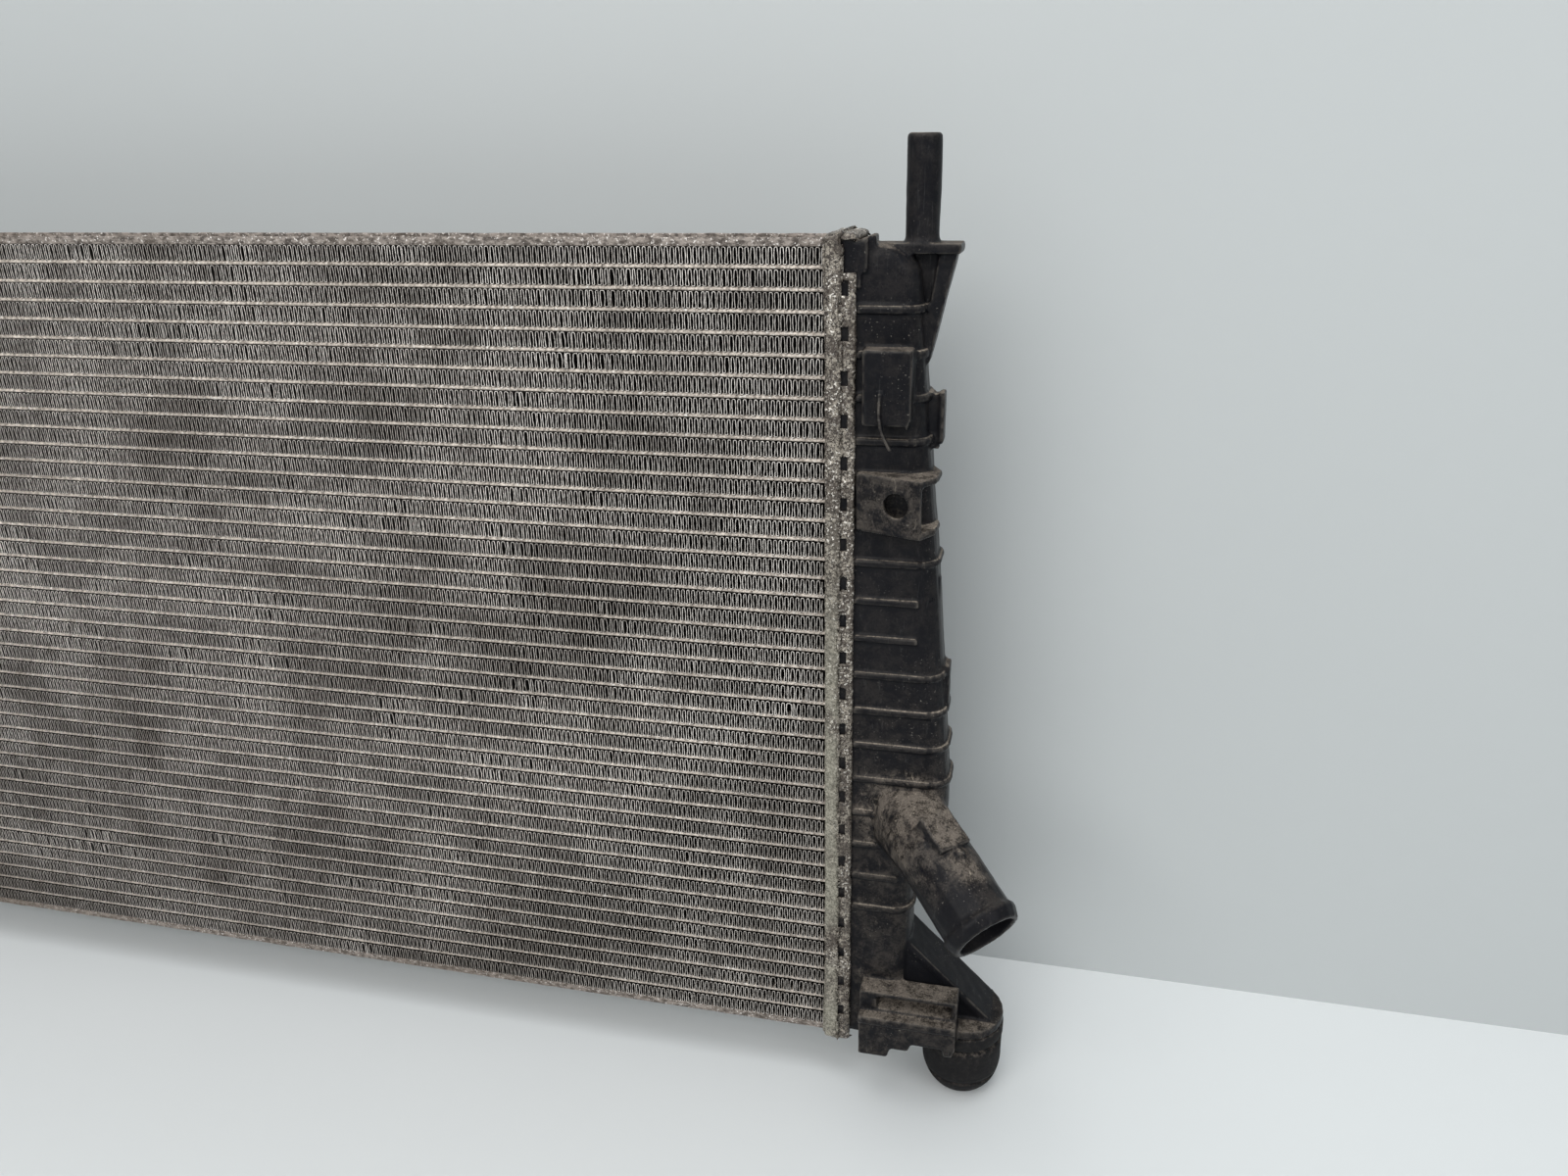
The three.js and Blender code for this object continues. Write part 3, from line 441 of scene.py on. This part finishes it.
def fin_line(length, half_height, rng):
    """The middle line of one folded strip, as (x, z) pairs from the left end to the right."""
    spacing = FIN_PITCH / 2
    legs = int(length / spacing) - 1
    straight = half_height - FIN_BEND_RADIUS
    pinch = spacing / 2 / FIN_BEND_RADIUS
    points = []
    for leg in range(legs):
        up = 1 if leg % 2 == 0 else -1
        x = -length / 2 + (leg + 1) * spacing + rng.normal(0, 0.05) * MM
        lean = rng.normal(0, 0.06) * MM
        points.append((x - lean, -up * straight))
        points.append((x - up * FIN_BOW, 0))
        points.append((x + lean, up * straight))
        if leg < legs - 1:
            for angle in (math.radians(125), math.radians(55)):
                across = math.cos(angle) * FIN_BEND_RADIUS * pinch
                height = straight + math.sin(angle) * FIN_BEND_RADIUS
                points.append((x + spacing / 2 + across, up * height))
    return np.array(points)


def fin_row(index, material):
    """One folded strip, its front and back edges bent a little where it has been knocked."""
    rng = np.random.default_rng(SEED + index)
    gap = (TUBE_PITCH - (first_tube_high.z - first_tube_low.z)) / 2
    line = fin_line(core_high.x - core_low.x, gap - FIN_SHEET / 2, rng)
    along = np.gradient(line, axis=0)
    across = np.stack([-along[:, 1], along[:, 0]], 1)
    across /= np.linalg.norm(across, axis=1)[:, None]
    row_z = TOP - TUBE_PITCH * (index + 0.5)
    knocks = np.array([noise.noise(Vector((x * 24, index * 0.33, 0))) for x in line[:, 0]])
    sway = np.array([noise.noise(Vector((x * 420, index * 7.1, 9))) for x in line[:, 0]])
    bend = np.clip(np.abs(knocks) - 0.18, 0, 1) * 2.6 * sway + rng.normal(0, 0.03, len(line))
    depths = [0, FIN_SOFT_EDGE, CORE_DEPTH - FIN_SOFT_EDGE, CORE_DEPTH]
    bends = [bend, 0 * bend, 0 * bend, -0.6 * bend]
    points = np.empty((len(line), 8, 3))
    for layer, (depth, shift) in enumerate(zip(depths, bends)):
        for column, offset in ((layer, 0.5), (7 - layer, -0.5)):
            points[:, column, 0] = line[:, 0] + across[:, 0] * offset * FIN_SHEET + shift * MM
            points[:, column, 1] = FRONT + depth
            points[:, column, 2] = row_z + line[:, 1] + across[:, 1] * offset * FIN_SHEET
    faces = ring_faces(len(line), 8)
    name = f"fin_{index + 1:02d}"
    piece = new_piece(name, points.reshape(-1, 3), faces, smooth=False)
    finish_piece(piece, material, "fin_metal", "radiator", "fin_pack")


def tube_section(nose_steps=4):
    """A flat tube's section as (y, z) pairs: two flat sides and two round noses."""
    half = (first_tube_high.z - first_tube_low.z) / 2
    reach = (first_tube_high.y - first_tube_low.y) / 2 - half
    points = []
    for end in (1, -1):
        for s in range(nose_steps + 1):
            angle = -math.pi / 2 + math.pi * s / nose_steps
            points.append((end * (reach + half * math.cos(angle)), end * half * math.sin(angle)))
    return points


def tube(index, material):
    name = f"tube_{index + 1:02d}"
    low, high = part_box(name)
    section = tube_section()
    stations = 280
    nose_from = 11.6 * MM
    points = []
    for s in range(stations + 1):
        x = low.x + (high.x - low.x) * s / stations
        for y, z in section:
            nose = 1 if abs(y) > nose_from else 0
            wobble = noise.noise(Vector((x * 260, y * 90, index * 5.3))) * 0.14 * MM
            sink = noise.noise(Vector((x * 500, index * 3.1, 4))) * 0.22 * MM * nose
            out = math.copysign(1, y)
            points.append((x, MIDDLE + y + out * sink, (low.z + high.z) / 2 + z * (1 + wobble / MM)))
    piece = new_piece(name + "_skin", points, ring_faces(stations + 1, len(section)))
    finish_piece(piece, material, "tube_metal", "radiator", name)


def side_plate(name, outwards, material):
    """A channel folded from sheet, slightly uneven along its length."""
    low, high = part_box(name)
    sheet = 1.2 * MM
    height = high.z - low.z
    inner = low.z if outwards > 0 else high.z
    profile = [
        (low.y, 0),
        (high.y, 0),
        (high.y, height),
        (high.y - sheet, height),
        (high.y - sheet, sheet),
        (low.y + sheet, sheet),
        (low.y + sheet, height),
        (low.y, height),
    ]
    section = rounded(profile, 0.5 * MM)
    stations = 240
    points = []
    for s in range(stations + 1):
        x = low.x + (high.x - low.x) * s / stations
        for y, z in section:
            rise = noise.noise(Vector((x * 130, y * 200, outwards * 3))) * 0.22 * MM
            sway = noise.noise(Vector((x * 60, z * 300, outwards * 7))) * 0.25 * MM
            trim = 1 - 0.1 * (z > height * 0.6)
            points.append((x, y + sway * (z > sheet), inner + outwards * (z * trim + rise * (z > 0))))
    piece = new_piece(name + "_skin", points, ring_faces(stations + 1, len(section)))
    finish_piece(piece, material, "side_plate_metal", "radiator", name)


# ---- Header plates --------------------------------------------------------------------


def finely(stops, longest):
    """The stops with more put in wherever two are further apart than longest."""
    points = []
    for a, b in zip(stops, stops[1:]):
        count = max(1, math.ceil(abs(b - a) / longest))
        points += [a + (b - a) * i / count for i in range(count)]
    return points + [stops[-1]]


def header_rim(top, bottom, front, back, radius):
    """The header's outline as (back, up) pairs with outward directions, window edges included."""
    stops = [top - radius, top - HEADER_SHEET - HEADER_NOTCH_HEIGHT]
    for i in range(WINDOW_COUNT):
        middle = -WINDOW_FIRST - WINDOW_PITCH * i
        stops += [middle + WINDOW_HEIGHT / 2, middle - WINDOW_HEIGHT / 2]
    stops.append(bottom + radius)
    heights = finely(stops, 1.9)
    widths = finely([front + radius, back - radius], 2)
    rim = [(front, up, -1, 0) for up in heights]

    def corner(centre, start):
        for angle in (math.radians(start + 30), math.radians(start + 60)):
            dy = math.cos(angle)
            dz = math.sin(angle)
            rim.append((centre[0] + radius * dy, centre[1] + radius * dz, dy, dz))

    corner((front + radius, bottom + radius), 180)
    rim.extend((y, bottom, 0, -1) for y in widths)
    corner((back - radius, bottom + radius), 270)
    rim.extend((back, up, 1, 0) for up in reversed(heights))
    corner((back - radius, top - radius), 0)
    rim.extend((y, top, 0, 1) for y in reversed(widths))
    corner((front + radius, top - radius), 90)
    return rim


def header_plate(side, material):
    """A tray pressed from sheet: the floor takes the tubes, and the rim is crimped onto the tank."""
    name = "header_plate_right" if side == RIGHT else "header_plate_left"
    top = (header_high.z - TOP) / MM - HEADER_SHEET
    bottom = (header_low.z - TOP) / MM
    front = (header_low.y - FRONT) / MM
    back = (header_high.y - FRONT) / MM
    reach = (header_high.x - header_low.x) / MM
    rim = header_rim(top, bottom, front, back, radius=2.2)
    # (inset, out) pairs, from the tray's floor out to the crimped lip
    profile = [
        (3.0, 0.0),
        (1.6, 0.05),
        (0.5, 0.5),
        (0.05, 1.6),
        (0, 3.6),
        (0, 5.4),
        (0, HEADER_NOTCH_FROM),
        (0, WINDOW_NEAR),
        (0, (WINDOW_NEAR + WINDOW_FAR) / 2),
        (0, WINDOW_FAR),
        (0.1, reach - 1.3),
        (0.5, reach - 0.4),
        (1.2, reach),
        (CRIMP_LIP, reach),
    ]
    points = []
    for inset, out in profile:
        for y, up, dy, dz in rim:
            wave = noise.noise(Vector((up * 0.11, y * 0.1, side))) * 0.8
            ripple = noise.noise(Vector((up * 0.45, out * 0.4, side * 5))) * 0.35
            push = wave * max(0, out - 7) / reach
            points.append(at(side, out + push * 0.7, y - dy * (inset + ripple), up - dz * inset))
    count = len(rim)
    faces = []

    def is_open(level, i):
        _, up, dy, _ = rim[i]
        _, next_up, _, _ = rim[(i + 1) % count]
        out = (profile[level][1] + profile[level + 1][1]) / 2
        middle = (up + next_up) / 2
        if abs(dy) < 1:
            return out > HEADER_NOTCH_FROM and middle < 0
        if out > HEADER_NOTCH_FROM and middle > top - HEADER_SHEET - HEADER_NOTCH_HEIGHT:
            return True
        from_first = -WINDOW_FIRST - middle
        nearest = round(from_first / WINDOW_PITCH)
        in_row = 0 <= nearest < WINDOW_COUNT
        beside = abs(from_first - nearest * WINDOW_PITCH) < WINDOW_HEIGHT / 2
        return in_row and beside and WINDOW_NEAR < out < WINDOW_FAR

    for level in range(len(profile) - 1):
        for i in range(count):
            if is_open(level, i):
                continue
            a = level * count + i
            b = level * count + (i + 1) % count
            face = (a, b, b + count, a + count)
            faces.append(face if side == RIGHT else (b, a, a + count, b + count))
    floor = tuple(range(count))
    faces.append(tuple(reversed(floor)) if side == RIGHT else floor)
    piece = new_piece(name + "_skin", points, faces)
    settle(
        piece,
        ("SUBSURF", {"levels": 1, "render_levels": 1, "subdivision_type": "SIMPLE"}),
        ("SOLIDIFY", {"thickness": HEADER_SHEET * MM, "offset": -1}),
    )
    roughen(piece, 2.6, 0.42, seed=side)
    roughen(piece, 1.1, 0.2, seed=side + 4)
    finish_piece(piece, material, "header_metal", "radiator", name)


# ---- Tanks ----------------------------------------------------------------------------


def hollow_filling(points, faces, side):
    """Points and faces of a block that fills a tank's hollow and bites a little into its walls."""
    tree = BVHTree.FromPolygons(points, faces)
    heights = (
        finely([HOLLOW_TOP, HOLLOW_STRAIGHT_FROM], 2)[:-1]
        + finely([HOLLOW_STRAIGHT_FROM, HOLLOW_STRAIGHT_TO], 8)
        + finely([HOLLOW_STRAIGHT_TO, HOLLOW_BOTTOM], 2)[1:]
    )
    rings = []
    for up in heights:
        start = at(side, *HOLLOW_EYE, up)
        wall, front, back = (
            tree.ray_cast(start, way)[0] for way in ((side, 0, 0), (0, -1, 0), (0, 1, 0))
        )
        out = (abs(wall.x) - HALF_LENGTH) / MM + HOLLOW_BITE
        before = (front.y - FRONT) / MM - HOLLOW_BITE
        behind = (back.y - FRONT) / MM + HOLLOW_BITE
        outline = [
            (HOLLOW_NEAR, before),
            (out - HOLLOW_CORNER, before),
            (out, before + HOLLOW_CORNER),
            (out, behind - HOLLOW_CORNER),
            (out - HOLLOW_CORNER, behind),
            (HOLLOW_NEAR, behind),
        ]
        rings.append((up, outline))
    rings.insert(0, (heights[0] + HOLLOW_BITE, rings[0][1]))
    rings.append((heights[-1] - HOLLOW_BITE, rings[-1][1]))
    filling = [at(side, u, v, up) for up, outline in rings for u, v in outline]
    return filling, ring_faces(len(rings), 6)


def filled_copy(node, name, side):
    """A copy of a CAD tank's mesh with its hidden inside filled, so that only its outside counts."""
    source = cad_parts[node].data
    points = [v.co.copy() for v in source.vertices]
    faces = [tuple(p.vertices) for p in source.polygons]
    filling, filling_faces = hollow_filling(points, faces, side)
    start = len(points)
    faces += [tuple(start + i for i in face) for face in filling_faces]
    return new_piece(name, points + filling, faces)


def ramp(value, low, high):
    """0 where value is low or less, 1 where it is high or more."""
    return min(1, max(0, (value - low) / (high - low)))


def dustiness(place, side):
    """How dusty a point of a tank is: the outlet's root and the bracket's face most of all."""
    out = (abs(place.x) - HALF_LENGTH) / MM
    back = (place.y - FRONT) / MM
    down = (TOP - place.z) / MM
    on_lower_arm = down > PLAIN_BELOW and out > 36 and back > 2
    if on_lower_arm:
        return 0.03
    amount = 0.09 + 0.2 * ramp(down, 180, 290)
    on_lower_block = 355 < down < 377 and back < 2
    if on_lower_block:
        amount += 0.08
    if side == RIGHT:
        on_bracket_face = 93 < down < 120 and back < 0
        if on_bracket_face:
            amount += 0.4
        root = at(RIGHT, *OUTLET_ROOT)
        run = at(RIGHT, *OUTLET_MOUTH) - root
        along = (place - root).dot(run) / run.length_squared
        near = (place - root - run * min(1, max(0, along))).length / MM
        inside_pipe = near < 15.4 and along > 0.45
        if inside_pipe:
            return 0.02
        on_pipe = ramp(near, 26, 21) * ramp(-back, -4, 0)
        amount += on_pipe * (0.03 + 0.85 * ramp(along, 0.80, 0.25) - amount)
    return min(1, amount)


def paleness(place):
    """How pale the lying dust is at a point of a tank: palest on the ribs round it."""
    back = (place.y - FRONT) / MM
    down = (TOP - place.z) / MM
    from_first = down - RIB_FIRST
    nearest = round(from_first / RIB_PITCH)
    on_rib = abs(from_first - nearest * RIB_PITCH) < RIB_HALF_HEIGHT
    return 0.9 if on_rib and back > -4 and down < PLAIN_BELOW else 0.1


def dust_masks(piece, side):
    """Writes the dust's amount and paleness on the mesh, for the tank's material to read."""
    mesh = piece.data
    places = [vertex.co for vertex in mesh.vertices]
    dust = mesh.attributes.new("dust", "FLOAT", "POINT")
    dust.data.foreach_set("value", [dustiness(place, side) for place in places])
    pale = mesh.attributes.new("pale", "FLOAT", "POINT")
    pale.data.foreach_set("value", [paleness(place) for place in places])


def tank(side, material):
    node = "tank_right" if side == RIGHT else "tank_left"
    piece = filled_copy(node, node + "_skin", side)
    voxel = TANK_VOXEL * MM
    settle(
        piece,
        ("REMESH", {"mode": "VOXEL", "voxel_size": voxel}),
        ("SMOOTH", {"factor": 0.5, "iterations": 2}),
    )
    roughen(piece, 22, 0.35, seed=side)
    roughen(piece, 5, 0.12, seed=side + 2)
    piece.data.shade_smooth()
    dust_masks(piece, side)
    finish_piece(piece, material, "tank_plastic", "radiator", node)


# ---- Turned pieces --------------------------------------------------------------------


def turned(profile, place, axis, sides=64, wobble=0.0):
    """Rings of points: (radius, along) pairs in millimetres, turned round an axis through place."""
    turn = Vector((0, 0, 1)).rotation_difference(axis).to_matrix()
    points = []
    for radius, along in profile:
        for i in range(sides):
            angle = 2 * math.pi * i / sides
            x = math.cos(angle)
            y = math.sin(angle)
            swell = 1 + wobble * noise.noise(Vector((x * 2, y * 2, along * 0.2)))
            spot = Vector((radius * swell * x, radius * swell * y, along))
            points.append(place + turn @ (spot * MM))
    return points


def bush(side, material):
    """A rubber bush: a collar, a groove, and a rounded body with a second groove."""
    node = "lower_bush_right" if side == RIGHT else "lower_bush_left"
    low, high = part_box(node)
    radius = (high.x - low.x) / 2 / MM
    height = (high.z - low.z) / MM
    dome_from = 22
    flat = 7
    profile = [
        (2, 0),
        (7.4, 0),
        (radius - 1.6, 0),
        (radius - 0.5, -0.3),
        (radius, -1.2),
        (radius, -6.6),
        (radius - 0.5, -7.2),
        (radius - 2.9, -7.7),
        (radius - 3.1, -9.4),
        (radius - 1.2, -10.0),
        (radius - 0.4, -11),
        (radius - 0.4, -16),
        (radius - 0.4, -dome_from),
    ]
    steps = 14
    for s in range(1, steps + 1):
        angle = math.pi / 2 * s / steps
        across = flat + (radius - 0.4 - flat) * math.cos(angle)
        down = dome_from + (height - dome_from) * math.sin(angle)
        profile.append((across, -down))
        if s == 3:
            profile += [(across - 2.2, -down - 0.3), (across - 2.5, -down - 1.6)]
    profile.append((2, -height))
    middle = Vector(((low.x + high.x) / 2, (low.y + high.y) / 2, high.z))
    sides = 64
    points = turned(profile, middle, Vector((0, 0, 1)), sides, wobble=0.012)
    piece = new_piece(node + "_skin", points, ring_faces(len(profile), sides))
    finish_piece(piece, material, "bush_rubber", "radiator", node)


def drain_plug(material):
    """A moulded screw plug: a round head, a bar to grip, and a threaded shank."""
    low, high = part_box("drain_plug")
    x = (low.x + high.x) / 2
    z = (low.z + high.z) / 2
    seal_low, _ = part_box("drain_plug_seal")
    head_back = seal_low.y - 0.3 * MM
    place = Vector((x, head_back, z))
    forward = Vector((0, -1, 0))
    head_radius = (high.x - low.x) / 2 / MM
    shank_length = (high.y - head_back) / MM
    profile = [(0.3, -shank_length), (3.4, -shank_length), (4.0, -shank_length + 1)]
    turns = 5
    quarter_pitch = 0.62
    crest = 4.65
    root = 4.05
    for s in range(turns * 4):
        along = -shank_length + 1.4 + s * quarter_pitch
        profile.append((crest if s % 4 == 1 else root, along))
    profile += [(4.1, -1.2), (4.1, 0), (head_radius - 0.7, 0), (head_radius, 0.7)]
    profile += [(head_radius, 3.2), (head_radius - 0.8, 4), (0.3, 4)]
    sides = 72
    points = turned(profile, place, forward, sides)
    faces = ring_faces(len(profile), sides)
    wide = 3.5
    tall = 8.3
    grip = rounded([(-wide, -tall), (wide, -tall), (wide, tall), (-wide, tall)], 1.6, 5)
    start = len(points)
    for forward_mm, shrink in ((3, 1.0), (7.6, 0.97), (8.3, 0.9)):
        for across, along in grip:
            spot = Vector((across * shrink * MM, -forward_mm * MM, along * shrink * MM))
            points.append(place + spot)
    faces += [tuple(start + i for i in face) for face in ring_faces(3, len(grip))]
    piece = new_piece("drain_plug_skin", points, faces)
    settle(
        piece,
        ("REMESH", {"mode": "VOXEL", "voxel_size": PLUG_VOXEL * MM}),
        ("SMOOTH", {"factor": 0.5, "iterations": 2}),
    )
    piece.data.shade_smooth()
    finish_piece(piece, material, "plug_plastic", "drain_plug", "drain_plug")


def drain_seal(material):
    """A flat washer with softened edges, turned from a closed section."""
    low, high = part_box("drain_plug_seal")
    outer = (high.x - low.x) / 2 / MM
    thick = (high.y - low.y) / MM
    inner = 5.0
    place = Vector(((low.x + high.x) / 2, high.y, (low.z + high.z) / 2))
    edge = 0.35
    profile = [
        (inner, edge),
        (inner + edge, 0),
        (outer - edge, 0),
        (outer, edge),
        (outer, thick - edge),
        (outer - edge, thick),
        (inner + edge, thick),
        (inner, thick - edge),
    ]
    sides = 64
    points = turned(profile, place, Vector((0, -1, 0)), sides)
    rings = len(profile)
    faces = []
    for r in range(rings):
        for i in range(sides):
            a = r * sides + i
            b = r * sides + (i + 1) % sides
            up = ((r + 1) % rings) * sides
            faces.append((a, b, up + (i + 1) % sides, up + i))
    piece = new_piece("drain_plug_seal_skin", points, faces)
    finish_piece(piece, material, "gasket_rubber", "drain_plug_seal", "drain_plug_seal")


# ---- Stage, light and camera ----------------------------------------------------------


def stage_look(name, colour, one_sided=False):
    look = Look(name, roughness=0.5)
    tint = look.mix(look.noise(260, 3), colour, tuple(c * 0.97 for c in colour))
    look.finish(tint, normal=look.bump(look.noise(14, 3), 0.02, 0.3))
    if one_sided:
        tree = look.tree
        clear = tree.nodes.new("ShaderNodeBsdfTransparent").outputs[0]
        behind = tree.nodes.new("ShaderNodeNewGeometry").outputs["Backfacing"]
        solid = look.shader.outputs[0]
        shown = look.add("MixShader", {"Fac": behind, 1: solid, 2: clear}, 0)
        tree.links.new(shown, tree.nodes["Material Output"].inputs["Surface"])
    return look.material


def stage():
    """A pale floor, and a pale wall close behind that is clear when seen from its back."""
    ends = (-STAGE_REACH, STAGE_REACH, STAGE_REACH, -STAGE_REACH)
    ys = (-STAGE_REACH, -STAGE_REACH, STAGE_REACH, STAGE_REACH)
    zs = (STAGE_DROP, STAGE_DROP, WALL_HEIGHT, WALL_HEIGHT)
    floor = new_piece("floor", [(x, y, STAGE_DROP) for x, y in zip(ends, ys)], [(0, 1, 2, 3)])
    wall = new_piece("wall", [(x, FRONT + WALL_BACK, z) for x, z in zip(ends, zs)], [(0, 1, 2, 3)])
    floor.data.materials.append(stage_look("floor_paint", (0.66, 0.685, 0.69)))
    wall.data.materials.append(stage_look("wall_paint", (0.475, 0.50, 0.503), one_sided=True))


def area_light(name, place, target, size, power, colour=(1, 1, 1)):
    light = bpy.data.lights.new(name, "AREA")
    light.shape = "DISK"
    light.size = size
    light.energy = power
    light.color = colour
    lamp = bpy.data.objects.new(name, light)
    lamp.location = place
    lamp.rotation_euler = (Vector(target) - Vector(place)).to_track_quat("-Z", "Y").to_euler()
    bpy.context.scene.collection.objects.link(lamp)


def lights():
    world = bpy.data.worlds.new("room")
    world.use_nodes = True
    background = world.node_tree.nodes["Background"]
    background.inputs["Color"].default_value = (0.90, 0.95, 1.0, 1)
    background.inputs["Strength"].default_value = 0.40
    bpy.context.scene.world = world
    area_light("key", (-0.2, -1.8, 1.6), (0.3, 0, 0.25), 1.9, 34, (1.0, 0.985, 0.96))
    area_light("right_fill", (1.7, -1.1, 1.2), (0.45, 0.1, 0.25), 1.2, 9)
    area_light("top", (0.3, -0.3, 2.2), (0.3, 0, 0.2), 1.5, 20)
    area_light("back_fill", (-0.6, 2.0, 1.3), (0, 0, 0.25), 1.6, 12)


def camera():
    """The photographer stands off the core's right end, looking slightly left and down."""
    data = bpy.data.cameras.new("camera")
    data.sensor_width = CAMERA_SENSOR
    data.lens = CAMERA_LENS
    eye = bpy.data.objects.new("camera", data)
    turn_left = Matrix.Rotation(math.radians(CAMERA_LEFT), 4, "Z")
    look_down = Matrix.Rotation(math.radians(90 - CAMERA_DOWN), 4, "X")
    roll = Matrix.Rotation(math.radians(CAMERA_ROLL), 4, "Z")
    place = Matrix.Translation(at(RIGHT, *CAMERA_PLACE))
    eye.matrix_world = place @ turn_left @ look_down @ roll
    bpy.context.scene.collection.objects.link(eye)
    bpy.context.scene.camera = eye


# ---- Build ----------------------------------------------------------------------------

fin_metal = fin_look()
for row in range(TUBE_COUNT + 1):
    fin_row(row, fin_metal)

tube_metal = tube_look()
for row in range(TUBE_COUNT):
    tube(row, tube_metal)

side_plate_metal = side_plate_look()
side_plate("side_plate_top", 1, side_plate_metal)
side_plate("side_plate_bottom", -1, side_plate_metal)

header_metal = header_look()
tank_plastic = tank_look()
bush_rubber = rubber_look("bush_rubber", 0.12)
for end in (RIGHT, LEFT):
    header_plate(end, header_metal)
    tank(end, tank_plastic)
    bush(end, bush_rubber)

gasket_rubber = rubber_look("gasket_rubber", 0.05)
drain_plug(tank_plastic)
drain_seal(gasket_rubber)
for gasket in ("gasket_right", "gasket_left"):
    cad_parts[gasket].data.materials.clear()
    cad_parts[gasket].data.materials.append(gasket_rubber)

stage()
lights()
camera()
bpy.context.scene.view_settings.view_transform = "Standard"
